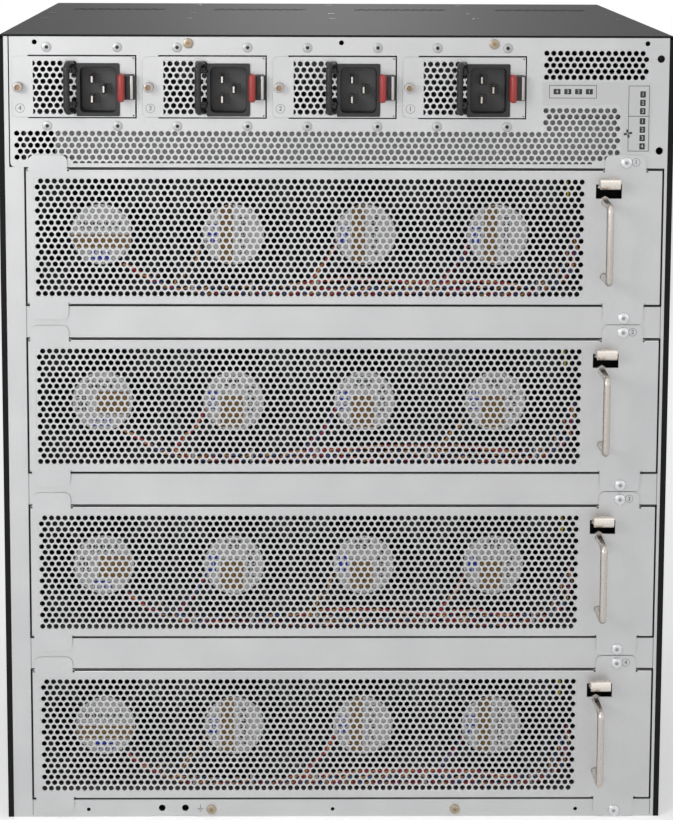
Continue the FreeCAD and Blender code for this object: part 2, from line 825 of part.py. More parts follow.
def make_rotor():
    """The moulded cup and blades, turning on the shaft, for the first fan."""
    x = fan_first_x
    cup = rod(rotor_hub_radius, V(0, 0, 0), V(0, rotor_length, 0))
    blades = []
    for i in range(blade_count):
        sections = []
        for reach, angle in ((rotor_hub_radius - 2, blade_root_angle), (blade_tip_reach, blade_tip_angle)):
            lean = math.radians(angle)
            along = V(math.cos(lean), math.sin(lean), 0)
            across = V(-math.sin(lean), math.cos(lean), 0)
            centre = V(0, rotor_length / 2, reach)
            a = along * (blade_chord / 2)
            b = across * (blade_thickness / 2)
            sections.append(Part.makePolygon([centre - a - b, centre + a - b, centre + a + b,
                                              centre - a + b, centre - a - b]))
        blade = Part.makeLoft(sections, True, True)
        blade.rotate(V(0, 0, 0), V(0, 1, 0), 360 * i / blade_count)
        blades.append(blade)
    rotor = cup.multiFuse(blades)
    rotor = rotor.cut(rod(fan_shaft_radius + fan_shaft_clearance, V(0, -1, 0), V(0, rotor_length * 0.6, 0)))
    rotor.translate(V(x, rotor_rear, fan_z))
    return rotor


# ---- Power supply pieces, made for the leftmost bay ----

def make_psu_case():
    """The folded case with its grille, inlet and lever openings, bail ears, lever pin and thumbscrew."""
    x1 = psu_right
    face_outline = rectangle_wire(bay_right - psu_ear, x1, psu_bottom, psu_top, 0, psu_front)
    holes = []
    for x, z in staggered(bay_right - psu_grille_left, bay_right - psu_grille_right,
                          psu_bottom + psu_grille_margin, psu_top - psu_grille_margin,
                          psu_hole_pitch, psu_hole_radius):
        holes.append(hexagon_wire(x, z, psu_hole_radius, psu_front))
    holes.append(rectangle_wire(bay_right - inlet_right - inlet_width + inlet_lip,
                                bay_right - inlet_right - inlet_lip,
                                inlet_bottom + inlet_lip, inlet_bottom + inlet_height - inlet_lip,
                                0, psu_front))
    holes.append(rectangle_wire(bay_right - lever_window_left, bay_right - lever_window_right,
                                bay_middle - lever_window_half_height,
                                bay_middle + lever_window_half_height, 0, psu_front))
    holes.append(circle_wire(bay_right - thumb_x, bay_middle,
                             screw_shank_radius + assembly_gap / 4, psu_front))
    face = sheet(face_outline, holes, psu_sheet)
    t = psu_sheet
    x0 = bay_right - psu_case_left
    shell = box(x0, x1, psu_back, psu_end, psu_bottom, psu_top)
    shell = shell.cut(box(x0 + t, x1 - t, psu_back - 1, psu_end - t, psu_bottom + t, psu_top - t))
    nose_slot = box(x1 - 2 * t, x1 + t, psu_back + lever_nose_setback - 2,
                    psu_back + lever_nose_setback + lever_nose_length + 2,
                    bay_middle - lever_nose_half_height - 1, bay_middle + lever_nose_half_height + 1)
    shell = shell.cut(nose_slot)
    pin = rod(lever_pin_radius, V(bay_right - lever_x, lever_pivot_y, psu_bottom + t / 2),
              V(bay_right - lever_x, lever_pivot_y, psu_top - t / 2))
    case = shell.multiFuse([face, pin] + bail_ears())
    screw = captive_screw(bay_right - thumb_x, bay_middle, psu_front, thumb_radius, thumb_length)
    return [case.removeSplitter(), screw]


def ear_heights():
    offset = bail_half_span - bail_pin_length + ear_sheet
    return (bay_middle - offset, bay_middle + offset)


def ear_slots():
    """The room that the inlet's flange leaves round the bail's ears."""
    slots = []
    for z in ear_heights():
        slots.append(box(bail_x - ear_radius - fit_gap, bail_x + ear_radius + fit_gap,
                         psu_front - 2 * ear_radius, psu_front + psu_sheet,
                         z - ear_sheet / 2 - fit_gap, z + ear_sheet / 2 + fit_gap))
    return Part.makeCompound(slots)


def bail_ears():
    ears = []
    for z in ear_heights():
        plate = box(bail_x - ear_radius, bail_x + ear_radius, bail_y, psu_front + psu_sheet / 2,
                    z - ear_sheet / 2, z + ear_sheet / 2)
        tip = Part.makeCylinder(ear_radius, ear_sheet, V(bail_x, bail_y, z - ear_sheet / 2))
        hole = Part.makeCylinder(bail_radius + pivot_clearance, ear_sheet + 2,
                                 V(bail_x, bail_y, z - ear_sheet / 2 - 1))
        ears.append(plate.fuse(tip).cut(hole))
    return ears


def make_psu_bail():
    """A bent wire bail that swings on its turned-in ends."""
    lean = math.radians(bail_lean)
    bar_x = bail_x - bail_length * math.sin(lean)
    bar_y = bail_y - bail_length * math.cos(lean)
    low = bay_middle - bail_half_span
    high = bay_middle + bail_half_span
    points = [
        V(bail_x, bail_y, low + bail_pin_length), V(bail_x, bail_y, low), V(bar_x, bar_y, low),
        V(bar_x, bar_y, high), V(bail_x, bail_y, high), V(bail_x, bail_y, high - bail_pin_length),
    ]
    return bent_rod(points, [bail_bend] * 4, bail_radius)


def make_psu_inlet():
    """A moulded appliance inlet turned on its side, with three flat pins."""
    x1 = bay_right - inlet_right
    x0 = x1 - inlet_width
    z0 = inlet_bottom
    z1 = z0 + inlet_height
    mouth = psu_front - inlet_proud
    flange = box(x0, x1, mouth, psu_front, z0, z1).cut(ear_slots())
    grow = inlet_lip + assembly_gap / 2
    body = box(x0 + grow, x1 - grow, psu_front, psu_back + inlet_depth, z0 + grow, z1 - grow)
    middle_x = (x0 + x1) / 2
    socket = rectangle_wire(middle_x - socket_width / 2, middle_x + socket_width / 2,
                            inlet_middle - socket_height / 2, inlet_middle + socket_height / 2,
                            socket_radius, mouth)
    hollow = sheet(socket, [], socket_depth)
    pins = []
    for x, z in ((line_pin_x, inlet_middle + pin_spacing / 2), (line_pin_x, inlet_middle - pin_spacing / 2),
                 (earth_pin_x, inlet_middle)):
        pin_x = bay_right - x
        pins.append(box(pin_x - pin_thickness / 2, pin_x + pin_thickness / 2, mouth + blade_setback,
                        mouth + socket_depth + 1, z - pin_height / 2, z + pin_height / 2))
    return flange.fuse(body).cut(hollow).multiFuse(pins).removeSplitter()


def make_psu_latch():
    """A spring-steel lever on the case's pin, with a catch nose and a moulded thumb tab."""
    x = bay_right - lever_x
    half = lever_sheet / 2
    low = bay_middle - lever_half_height
    high = bay_middle + lever_half_height
    lever = box(x - half, x + half, psu_front - lever_reach, lever_pivot_y, low, high)
    eye = rod(lever_eye_radius, V(x, lever_pivot_y, low), V(x, lever_pivot_y, high))
    bore = rod(lever_pin_radius + pivot_clearance, V(x, lever_pivot_y, low - 1), V(x, lever_pivot_y, high + 1))
    arm = box(bay_right - tab_right - 1, x + half, psu_front - lever_reach,
              psu_front - lever_reach + lever_sheet, low, high)
    nose = box(x - half, psu_right, psu_back + lever_nose_setback,
               psu_back + lever_nose_setback + lever_nose_length,
               bay_middle - lever_nose_half_height, bay_middle + lever_nose_half_height)
    nose = nose.makeChamfer(1.2, [e for e in nose.Edges if abs(e.CenterOfMass.x - psu_right) < 0.01
                                  and e.BoundBox.ZLength > 1])
    tab = box(bay_right - tab_left, bay_right - tab_right, psu_front - tab_to, psu_front - tab_from,
              bay_middle - tab_half_height, bay_middle + tab_half_height)
    rounding = (tab_left - tab_right) * 0.35
    tab = tab.makeFillet(rounding, [e for e in tab.Edges if abs(e.CenterOfMass.y - psu_front + tab_to) < 0.01
                                    and e.BoundBox.ZLength > 1])
    return lever.multiFuse([eye, arm, nose, tab]).cut(bore).removeSplitter()


def main():
    os.makedirs("parts", exist_ok=True)
    save("outer_cover", [make_cover()])
    save("bottom_panel", [make_bottom()])
    save("front_blanks", [make_front()])
    save("rear_frame", [make_rear_frame()])
    save("power_panel", [make_power_panel()])
    save("inner_cage", make_cage())
    save("midplane_board", [make_midplane()])
    save("chassis_screws", make_screws())
    tray_pieces = {
        "plate": make_tray_plate(), "box": make_tray_box(), "handle": [make_tray_handle()],
        "latch": [make_tray_latch()], "harness": [make_harness()],
    }
    rotor = make_rotor()
    for number in range(1, tray_count + 1):
        lift = V(0, 0, (tray_count - number) * tray_pitch)
        for piece, shapes in tray_pieces.items():
            save(f"tray_{number}_{piece}", [shape.translated(lift) for shape in shapes])
        for fan in range(fan_count):
            save(f"tray_{number}_rotor_{fan + 1}", [rotor.translated(lift + V(fan * fan_pitch, 0, 0))])
    psu_pieces = {
        "case": make_psu_case(), "inlet": [make_psu_inlet()], "handle": [make_psu_bail()],
        "latch": [make_psu_latch()],
    }
    for number in range(1, bay_count + 1):
        shift = V((bay_count - number) * bay_pitch, 0, 0)
        for piece, shapes in psu_pieces.items():
            save(f"psu_{number}_{piece}", [shape.translated(shift) for shape in shapes])


main()
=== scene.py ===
import bpy
import math
from mathutils import Matrix, Vector


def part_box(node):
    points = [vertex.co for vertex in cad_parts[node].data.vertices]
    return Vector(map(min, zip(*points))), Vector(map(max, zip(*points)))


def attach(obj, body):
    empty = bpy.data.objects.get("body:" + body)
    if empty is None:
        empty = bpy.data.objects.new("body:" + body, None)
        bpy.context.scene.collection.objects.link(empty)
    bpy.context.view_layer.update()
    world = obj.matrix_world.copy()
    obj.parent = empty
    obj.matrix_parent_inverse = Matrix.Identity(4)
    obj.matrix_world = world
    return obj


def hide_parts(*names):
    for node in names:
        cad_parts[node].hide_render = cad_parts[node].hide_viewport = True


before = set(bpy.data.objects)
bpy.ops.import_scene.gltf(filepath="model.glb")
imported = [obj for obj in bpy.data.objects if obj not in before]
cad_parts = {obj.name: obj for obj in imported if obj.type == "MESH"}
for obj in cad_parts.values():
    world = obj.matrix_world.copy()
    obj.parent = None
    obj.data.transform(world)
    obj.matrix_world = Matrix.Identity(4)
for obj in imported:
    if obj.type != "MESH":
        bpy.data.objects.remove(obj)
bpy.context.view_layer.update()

# ---- Studio ----
# The chassis stands on a pale floor in a pale room. The camera is behind it and a little above its top,
# and looks slightly down at the rear face. A soft key lamp at the upper left gives the sheet metal its
# fall-off, and a small lamp beyond the front brightens the middle of the top.
mm = 0.001


def math_node(tree, operation, second=None):
    """A math node; the second value is given where nothing is linked to it."""
    node = tree.nodes.new("ShaderNodeMath")
    node.operation = operation
    if second is not None:
        node.inputs[1].default_value = second
    return node


def link(tree, source, output, target, socket):
    """Links one node's output to another's input, each by its name or number."""
    tree.links.new(source.outputs[output], target.inputs[socket])


floor_glow = 0.45
bpy.ops.object.select_all(action="DESELECT")
bpy.ops.mesh.primitive_plane_add(size=14, location=(0, 0, 0))
floor = bpy.context.object
floor.name = "floor"
floor_paint = bpy.data.materials.new("floor_paint")
floor_paint.use_nodes = True
floor_tree = floor_paint.node_tree
floor_shader = floor_tree.nodes["Principled BSDF"]
floor_shader.inputs["Base Color"].default_value = (0.85, 0.85, 0.85, 1)
floor_shader.inputs["Roughness"].default_value = 0.9
floor_shader.inputs["Emission Color"].default_value = (1, 1, 1, 1)
floor_path = floor_tree.nodes.new("ShaderNodeLightPath")
floor_seen = math_node(floor_tree, "MAXIMUM")
floor_lift = math_node(floor_tree, "MULTIPLY", floor_glow)
link(floor_tree, floor_path, "Is Camera Ray", floor_seen, 0)
link(floor_tree, floor_path, "Is Glossy Ray", floor_seen, 1)
link(floor_tree, floor_seen, "Value", floor_lift, 0)
link(floor_tree, floor_lift, "Value", floor_shader, "Emission Strength")
floor.data.materials.append(floor_paint)

camera_data = bpy.data.cameras.new("camera")
camera_data.lens = 119.2
camera_data.sensor_width = 36
camera_data.shift_y = -0.146
camera = bpy.data.objects.new("camera", camera_data)
bpy.context.scene.collection.objects.link(camera)
camera_turn = Matrix.Rotation(math.radians(-0.96), 4, "Z")
camera_turn = camera_turn @ Matrix.Rotation(math.radians(90 - 8.63), 4, "X")
camera_turn = camera_turn @ Matrix.Rotation(math.radians(0.23), 4, "Z")
camera.matrix_world = Matrix.Translation((-0.0295, -1.9958, 0.631)) @ camera_turn
bpy.context.scene.camera = camera

room = bpy.data.worlds.new("room")
room.use_nodes = True
bpy.context.scene.world = room
room_tree = room.node_tree
room_nodes = room_tree.nodes
room_light = room_nodes["Background"]
room_light.inputs["Color"].default_value = (0.97, 0.98, 1.0, 1)
room_light.inputs["Strength"].default_value = 0.31
room_white = room_nodes.new("ShaderNodeBackground")
room_white.inputs["Color"].default_value = (1, 1, 1, 1)
room_white.inputs["Strength"].default_value = 1.0
room_path = room_nodes.new("ShaderNodeLightPath")
room_mix = room_nodes.new("ShaderNodeMixShader")
room_seen = math_node(room_tree, "MAXIMUM")
room_through = math_node(room_tree, "MAXIMUM")
link(room_tree, room_path, "Is Camera Ray", room_seen, 0)
link(room_tree, room_path, "Is Glossy Ray", room_seen, 1)
link(room_tree, room_seen, "Value", room_through, 0)
link(room_tree, room_path, "Is Transmission Ray", room_through, 1)
link(room_tree, room_through, "Value", room_mix, "Fac")
link(room_tree, room_light, "Background", room_mix, 1)
link(room_tree, room_white, "Background", room_mix, 2)
link(room_tree, room_mix, "Shader", room_nodes["World Output"], "Surface")


def soft_lamp(name, place, aim, size, watts):
    """A round area lamp that shines from its place to its aim."""
    bpy.ops.object.select_all(action="DESELECT")
    bpy.ops.object.light_add(type="AREA", location=place)
    lamp = bpy.context.object
    lamp.name = name
    lamp.data.shape = "DISK"
    lamp.data.size = size
    lamp.data.energy = watts
    lamp.rotation_euler = (Vector(place) - Vector(aim)).to_track_quat("Z", "Y").to_euler()


soft_lamp("key_lamp", (-0.75, -1.3, 0.8), (-0.2, -0.2, 0.5), 0.6, 5.7)
soft_lamp("over_lamp", (-0.1, -1.0, 1.9), (0, -0.25, 0.1), 1.0, 2.5)
soft_lamp("fill_lamp", (1.9, -2.4, 0.9), (0, -0.2, 0.25), 1.8, 3.6)
soft_lamp("top_lamp", (0.02, 1.9, 1.25), (0.03, 0.1, 0.53), 0.35, 4.2)
soft_lamp("front_lamp", (-0.2, -2.2, 0.35), (0, -0.2, 0.12), 0.5, 1.1)

bpy.context.scene.view_settings.view_transform = "Standard"

# ---- Outer cover ----
# Top and both sides are one folded sheet with a charcoal powder coat, which is fine-grained and dull.
# Four pierced fields near the front let air out of the top.


def build_grain_group():
    """Fine and broad variation that every finish on the chassis uses, on the part's own coordinates."""
    group = bpy.data.node_groups.new("surface_grain", "ShaderNodeTree")
    for name, way, kind in (("Grain", "INPUT", "Float"), ("Patch", "INPUT", "Float"),
                            ("Stretch", "INPUT", "Vector"), ("Fine", "OUTPUT", "Float"),
                            ("Broad", "OUTPUT", "Float")):
        group.interface.new_socket(name=name, in_out=way, socket_type=f"NodeSocket{kind}")
    nodes = group.nodes
    entry = nodes.new("NodeGroupInput")
    leave = nodes.new("NodeGroupOutput")
    place = nodes.new("ShaderNodeTexCoord")
    stretch = nodes.new("ShaderNodeVectorMath")
    stretch.operation = "MULTIPLY"
    fine = nodes.new("ShaderNodeTexNoise")
    fine.inputs["Detail"].default_value = 4
    broad = nodes.new("ShaderNodeTexNoise")
    broad.inputs["Detail"].default_value = 2
    link(group, place, "Object", stretch, 0)
    link(group, entry, "Stretch", stretch, 1)
    link(group, stretch, "Vector", fine, "Vector")
    link(group, entry, "Grain", fine, "Scale")
    link(group, place, "Object", broad, "Vector")
    link(group, entry, "Patch", broad, "Scale")
    link(group, fine, "Fac", leave, "Fine")
    link(group, broad, "Fac", leave, "Broad")
    return group


surface_grain = build_grain_group()
fine_share, broad_share = 0.4, 0.6


def finish(name, dark, light, metallic, smooth, rough, grain=900, patch=14, stretch=(1, 1, 1), relief=0.05):
    """A finish whose colour drifts between two tones and whose gloss and relief follow its grain."""
    material = bpy.data.materials.new(name)
    material.use_nodes = True
    tree = material.node_tree
    nodes = tree.nodes
    shader = nodes["Principled BSDF"]
    shader.inputs["Metallic"].default_value = metallic
    texture = nodes.new("ShaderNodeGroup")
    texture.node_tree = surface_grain
    texture.inputs["Grain"].default_value = grain
    texture.inputs["Patch"].default_value = patch
    texture.inputs["Stretch"].default_value = stretch
    blend = math_node(tree, "MULTIPLY_ADD", fine_share)
    share = math_node(tree, "MULTIPLY", broad_share)
    tone = nodes.new("ShaderNodeMix")
    tone.data_type = "RGBA"
    tone.inputs[6].default_value = (*dark, 1)
    tone.inputs[7].default_value = (*light, 1)
    gloss = nodes.new("ShaderNodeMapRange")
    for socket, value in (("From Min", 0.3), ("From Max", 0.7), ("To Min", smooth), ("To Max", rough)):
        gloss.inputs[socket].default_value = value
    bump = nodes.new("ShaderNodeBump")
    bump.inputs["Strength"].default_value = relief
    bump.inputs["Distance"].default_value = 0.1 * mm
    link(tree, texture, "Broad", share, 0)
    link(tree, texture, "Fine", blend, 0)
    link(tree, share, "Value", blend, 2)
    link(tree, blend, "Value", tone, "Factor")
    link(tree, tone, 2, shader, "Base Color")
    link(tree, texture, "Fine", gloss, "Value")
    link(tree, gloss, "Result", shader, "Roughness")
    link(tree, texture, "Fine", bump, "Height")
    link(tree, bump, "Normal", shader, "Normal")
    return material


def paint(piece, *materials):
    """Gives a piece its materials, in place of those it had."""
    piece.data.materials.clear()
    for material in materials:
        piece.data.materials.append(material)
    return piece


def coat(node_name, *materials):
    """Puts its finishes on a CAD node."""
    return paint(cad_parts[node_name], *materials)


powder_coat = finish("charcoal_powder_coat", (0.016, 0.016, 0.0165), (0.024, 0.024, 0.0245), 0.0, 0.55, 0.65,
                     grain=2600, patch=9, relief=0.10)
powder_coat.node_tree.nodes["Principled BSDF"].inputs["Specular IOR Level"].default_value = 0.06
coat("outer_cover", powder_coat)

# ---- Rear frame, bottom and inside sheets ----
# Galvanised steel sheet with a fine, bright grain. The rear frame is the plain face round the fan trays,
# the bottom closes the box, and the cage carries the trays and supplies inside. The cage's sheet is painted
# darker than the frame as painted shade for the dim inside, and its rear edges are painted black as painted
# shade in the gaps behind the rear face.
zinc = finish("galvanised_sheet", (0.55, 0.555, 0.56), (0.76, 0.76, 0.76), 0.55, 0.34, 0.50,
              patch=26, relief=0.12)
cage_shade_zinc = finish("galvanised_painted_shade", (0.34, 0.34, 0.34), (0.46, 0.46, 0.46), 0.3, 0.45, 0.6,
                   grain=700, patch=22)
black_painted_shade = finish("painted_shade_black", (0.008, 0.008, 0.008), (0.013, 0.013, 0.013), 0.0, 0.8, 0.9, grain=1200)
for sheet_node in ("rear_frame", "bottom_panel"):
    coat(sheet_node, zinc)
cage = coat("inner_cage", cage_shade_zinc, black_painted_shade)
cage_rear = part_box("inner_cage")[0].y + 0.5 * mm
# Painted shade: faces at the cage's rear edges take the black second finish, the rest the darkened cage
# sheet.
for face in cage.data.polygons:
    face.material_index = 1 if face.center.y < cage_rear else 0

# ---- Midplane board ----
# A green circuit board across the chassis, which the fan trays' plugs reach from the rear.
board_green = finish("board_green", (0.012, 0.075, 0.035), (0.02, 0.10, 0.05), 0.0, 0.3, 0.4, grain=400)
coat("midplane_board", board_green)

# ---- Front blanks ----
# Twelve blank covers close the slots on the front. They are coated like the cover, and each is held
# by a knurled thumbscrew at both ends.
coat("front_blanks", powder_coat)

# ---- Power panel ----
# The upper rear face, punched from one sheet: four supply bays, a wide field of small round vents below
# them, a second field beside the last bay and a third at the upper right corner.


def rounded(corners):
    """The points of an outline; each corner is (x, z, radius), and a round one is an arc of five points."""
    points = []
    for i, (x, z, radius) in enumerate(corners):
        if radius == 0:
            points.append((x, z))
            continue
        x0, z0, _ = corners[i - 1]
        x1, z1, _ = corners[(i + 1) % len(corners)]
        towards = math.hypot(x0 - x, z0 - z)
        away = math.hypot(x1 - x, z1 - z)
        in_x, in_z = (x0 - x) / towards * radius, (z0 - z) / towards * radius
        out_x, out_z = (x1 - x) / away * radius, (z1 - z) / away * radius
        for step in range(5):
            angle = math.radians(22.5 * step)
            a = 1 - math.sin(angle)
            b = 1 - math.cos(angle)
            points.append((x + in_x * a + out_x * b, z + in_z * a + out_z * b))
    return points


def ring(x, z, radius, count=24):
    """The points of a round opening."""
    step = 2 * math.pi / count
    return [(x + radius * math.cos(step * i), z + radius * math.sin(step * i)) for i in range(count)]


def block(x0, x1, z0, z1, radius=0):
    """The points of a rectangle, its corners rounded to the radius."""
    return rounded([(x0, z0, radius), (x1, z0, radius), (x1, z1, radius), (x0, z1, radius)])


def add_spline(curve, places):
    """Adds a run of straight lines through the places, each (x, y, z), to a curve."""
    spline = curve.splines.new("POLY")
    spline.points.add(len(places) - 1)
    for point, place in zip(spline.points, places):
        point.co = (*place, 1)
    return spline


def mesh_of(curve):
    """Turns a curve into a mesh, which is left active and selected alone."""
    piece = bpy.data.objects.new(curve.name, curve)
    bpy.context.scene.collection.objects.link(piece)
    bpy.ops.object.select_all(action="DESELECT")
    piece.select_set(True)
    bpy.context.view_layer.objects.active = piece
    bpy.ops.object.convert(target="MESH")
    return bpy.context.object


def cut_sheet(name, outline, openings, rear_y, thickness, soft=0.0, upright=True, material=None):
    """A sheet standing upright: outline and openings in X and Z, its rear side at rear_y, edges softened.

    One that isn't upright lies flat, with its outline in X and Y and its underside at rear_y.
    """
    curve = bpy.data.curves.new(name, "CURVE")
    curve.dimensions = "2D"
    curve.fill_mode = "BOTH"
    for loop in [outline] + openings:
        add_spline(curve, [(x, z, 0) for x, z in loop]).use_cyclic_u = True
    curve.extrude = thickness / 2 - soft
    curve.bevel_depth = soft
    curve.offset = -soft
    curve.bevel_resolution = 0
    sheet = mesh_of(curve)
    if upright:
        sheet.rotation_euler = (math.radians(90), 0, 0)
        sheet.location = (0, rear_y + thickness / 2, 0)
    else:
        sheet.location = (0, 0, rear_y + thickness / 2)
    bpy.ops.object.transform_apply(location=True, rotation=True)
    bpy.ops.object.mode_set(mode="EDIT")
    bpy.ops.mesh.select_all(action="SELECT")
    bpy.ops.mesh.remove_doubles(threshold=0.002 * mm)
    bpy.ops.mesh.normals_make_consistent(inside=False)
    bpy.ops.object.mode_set(mode="OBJECT")
    if material is not None:
        paint(sheet, material)
    return sheet


vent_pitch = 4.495 * mm
vent_rise = 3.92 * mm
vent_radius = 1.75 * mm


def join(pieces, name):
    """Makes one piece of several, each made at its place."""
    bpy.ops.object.select_all(action="DESELECT")
    for piece in pieces:
        piece.select_set(True)
    bpy.context.view_layer.objects.active = pieces[0]
    if len(pieces) > 1:
        bpy.ops.object.join()
    whole = bpy.context.object
    whole.name = name
    whole.data.name = name
    return whole


def copy_of(piece, name):
    """A copy with its own mesh."""
    twin = piece.copy()
    twin.data = piece.data.copy()
    twin.name = name
    twin.data.name = name
    bpy.context.scene.collection.objects.link(twin)
    return twin


def shift(piece, x, y, z):
    """Moves a piece's mesh, so that the piece itself stays at the origin."""
    piece.data.transform(Matrix.Translation((x, y, z)))
    return piece


def vent_row(columns, radius):
    """One row of pierced cells with a plain half cell at its right end, lying flat, from the origin."""
    bpy.ops.object.select_all(action="DESELECT")
    bpy.ops.mesh.primitive_grid_add(x_subdivisions=4, y_subdivisions=2, size=1)
    row = bpy.context.object
    row.scale = (vent_pitch, vent_rise, 1)
    bpy.ops.object.transform_apply(scale=True)
    bpy.ops.object.mode_set(mode="EDIT")
    bpy.ops.mesh.select_all(action="SELECT")
    bpy.ops.mesh.dissolve_faces()
    bpy.ops.mesh.delete(type="ONLY_FACE")
    bpy.ops.mesh.primitive_circle_add(vertices=12, radius=radius)
    bpy.ops.mesh.select_all(action="SELECT")
    bpy.ops.mesh.bridge_edge_loops()
    bpy.ops.transform.translate(value=(vent_pitch / 2, vent_rise / 2, 0))
    bpy.ops.object.mode_set(mode="OBJECT")
    across = row.modifiers.new("across", "ARRAY")
    across.count = columns
    across.use_relative_offset = False
    across.use_constant_offset = True
    across.constant_offset_displace = (vent_pitch, 0, 0)
    bpy.ops.object.modifier_apply(modifier="across")
    bpy.ops.object.select_all(action="DESELECT")
    bpy.ops.mesh.primitive_grid_add(x_subdivisions=2, y_subdivisions=2, size=1)
    end = bpy.context.object
    end.scale = (vent_pitch / 2, vent_rise, 1)
    end.location = (columns * vent_pitch + vent_pitch / 4, vent_rise / 2, 0)
    bpy.ops.object.transform_apply(location=True, scale=True)
    return join([row, end], "vent_row")


def vent_field(name, x0, z0, rear_y, columns, rows, thickness, first_shifted=False, trims=()):
    """Staggered rows of round holes in sheet, upright, from the lower left corner.

    Each trim is (place, direction): the field is cut off at that place, on the side the direction points to.
    """
    plain = vent_row(columns, vent_radius)
    shifted = copy_of(plain, "shifted_row")
    width = (columns + 0.5) * vent_pitch
    shifted.data.transform(Matrix.Translation((width, 0, 0)) @ Matrix.Scale(-1, 4, (1, 0, 0)))
    strips = []
    for i in range(rows):
        source = shifted if (i % 2 == 1) != first_shifted else plain
        strip = copy_of(source, "strip")
        strips.append(shift(strip, 0, i * vent_rise, 0))
    bpy.data.objects.remove(plain)
    bpy.data.objects.remove(shifted)
    field = join(strips, name)
    field.rotation_euler = (math.radians(90), 0, 0)
    field.location = (x0, rear_y, z0)
    bpy.ops.object.transform_apply(location=True, rotation=True)
    bpy.ops.object.mode_set(mode="EDIT")
    bpy.ops.mesh.select_all(action="SELECT")
    bpy.ops.mesh.remove_doubles(threshold=0.01 * mm)
    bpy.ops.mesh.normals_make_consistent(inside=False)
    for place, direction in trims:
        bpy.ops.mesh.select_all(action="SELECT")
        bpy.ops.mesh.bisect(plane_co=place, plane_no=direction, clear_outer=True)
    bpy.ops.object.mode_set(mode="OBJECT")
    solid = field.modifiers.new("thickness", "SOLIDIFY")
    solid.thickness = thickness
    solid.offset = -1 if field.data.polygons[0].normal.y < 0 else 1
    bpy.ops.object.modifier_apply(modifier="thickness")
    bpy.ops.object.mode_set(mode="EDIT")
    bpy.ops.mesh.select_all(action="SELECT")
    bpy.ops.mesh.normals_make_consistent(inside=False)
    bpy.ops.object.mode_set(mode="OBJECT")
    return field


panel_low, panel_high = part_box("power_panel")
panel_sheet = panel_high.y - panel_low.y
rear_y = panel_low.y
bay_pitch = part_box("psu_1_case")[0].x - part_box("psu_2_case")[0].x
bay_edge_gap = 0.9 * mm
bay_width = 70.8 * mm
bay_right_ends = [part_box(f"psu_{4 - i}_case")[1].x + bay_edge_gap for i in range(4)]
bay_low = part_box("psu_4_case")[0].z - bay_edge_gap
bay_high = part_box("psu_4_case")[1].z + bay_edge_gap
band_columns = 88
band_rows = 5
band_x = panel_low.x + 2.15 * mm
band_z = panel_low.z + 4.5 * mm
side_columns = 11
side_x = band_x + (band_columns - side_columns) * vent_pitch
side_z = band_z + band_rows * vent_rise
corner_columns = 15
corner_z = panel_high.z - 27.65 * mm
band_end = band_x + (band_columns + 0.5) * vent_pitch
side_top = side_z + 4 * vent_rise
corner_end = side_x + (corner_columns + 0.5) * vent_pitch
corner_top = corner_z + 5 * vent_rise

panel_openings = []
for edge in bay_right_ends:
    panel_openings.append(block(edge - bay_width, edge, bay_low, bay_high))
half_columns = 76
half_x = band_x + 8.5 * vent_pitch
half_end = half_x + (half_columns + 0.5) * vent_pitch
half_z = band_z - vent_rise / 2
panel_openings.append([
    (band_x, band_z), (half_x, band_z), (half_x, half_z), (half_end, half_z), (half_end, band_z),
    (band_end, band_z), (band_end, side_top), (side_x, side_top), (side_x, side_z), (band_x, side_z),
])
panel_openings.append(block(side_x, corner_end, corner_z, corner_top))
peg_radius = 1.65 * mm
tab_screw_x, tab_screw_rise = 190.1 * mm, 5.0 * mm
for x in (-197.0 * mm, 2.8 * mm, 202.8 * mm):
    panel_openings.append(ring(x, panel_high.z - 3.6 * mm, peg_radius, 12))
panel_openings.append(ring(tab_screw_x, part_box("tray_1_box")[1].z + tab_screw_rise, 1.8 * mm, 12))
for z in (454.8 * mm, 515.0 * mm):
    panel_openings.append(ring(211.8 * mm, z, 2.5 * mm, 16))
panel_edge = rounded([
    (panel_low.x, panel_low.z, 3 * mm), (panel_high.x, panel_low.z, 0),
    (panel_high.x, panel_high.z, 0), (panel_low.x, panel_high.z, 0),
])
panel_parts = [
    cut_sheet("panel_sheet", panel_edge, panel_openings, rear_y, panel_sheet, 0.0),
    vent_field("band", band_x, band_z, rear_y, band_columns, band_rows, panel_sheet),
    vent_field("half_row", half_x, band_z - vent_rise, rear_y, half_columns, 1, panel_sheet,
               trims=[((0, 0, half_z), (0, 0, -1))]),
    vent_field("side", side_x, side_z, rear_y, side_columns, 4, panel_sheet, first_shifted=True),
    vent_field("corner", side_x, corner_z, rear_y, corner_columns, 5, panel_sheet),
]
power_panel = paint(join(panel_parts, "power_panel_sheet"), zinc)
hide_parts("power_panel")
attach(power_panel, "chassis")

# ---- Frame seams ----
# Thin joints at both sides of the rear frame, where its flanges are folded back between the openings
# of the trays. They are dull grey lines a hair in front of the sheet.
seam_grey = finish("seam_grey", (0.22, 0.22, 0.22), (0.30, 0.30, 0.30), 0.2, 0.5, 0.6, relief=0.0)
frame_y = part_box("rear_frame")[0].y
frame_foot, opening_foot, opening_top, opening_pitch = 1.5 * mm, 11.9 * mm, 104.4 * mm, 113.0 * mm
seam_half, seam_sheet = 0.25 * mm, 0.03 * mm
seams = []
for gap in range(-1, 3):
    foot, head = max(frame_foot, opening_top + gap * opening_pitch), opening_foot + (gap + 1) * opening_pitch
    for x in (-204.3 * mm, 214.9 * mm):
        seams.append(cut_sheet("seam", block(x - seam_half, x + seam_half, foot, head), [],
                               frame_y - seam_sheet, seam_sheet, material=seam_grey))
frame_seams = join(seams, "frame_seams")
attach(frame_seams, "chassis")
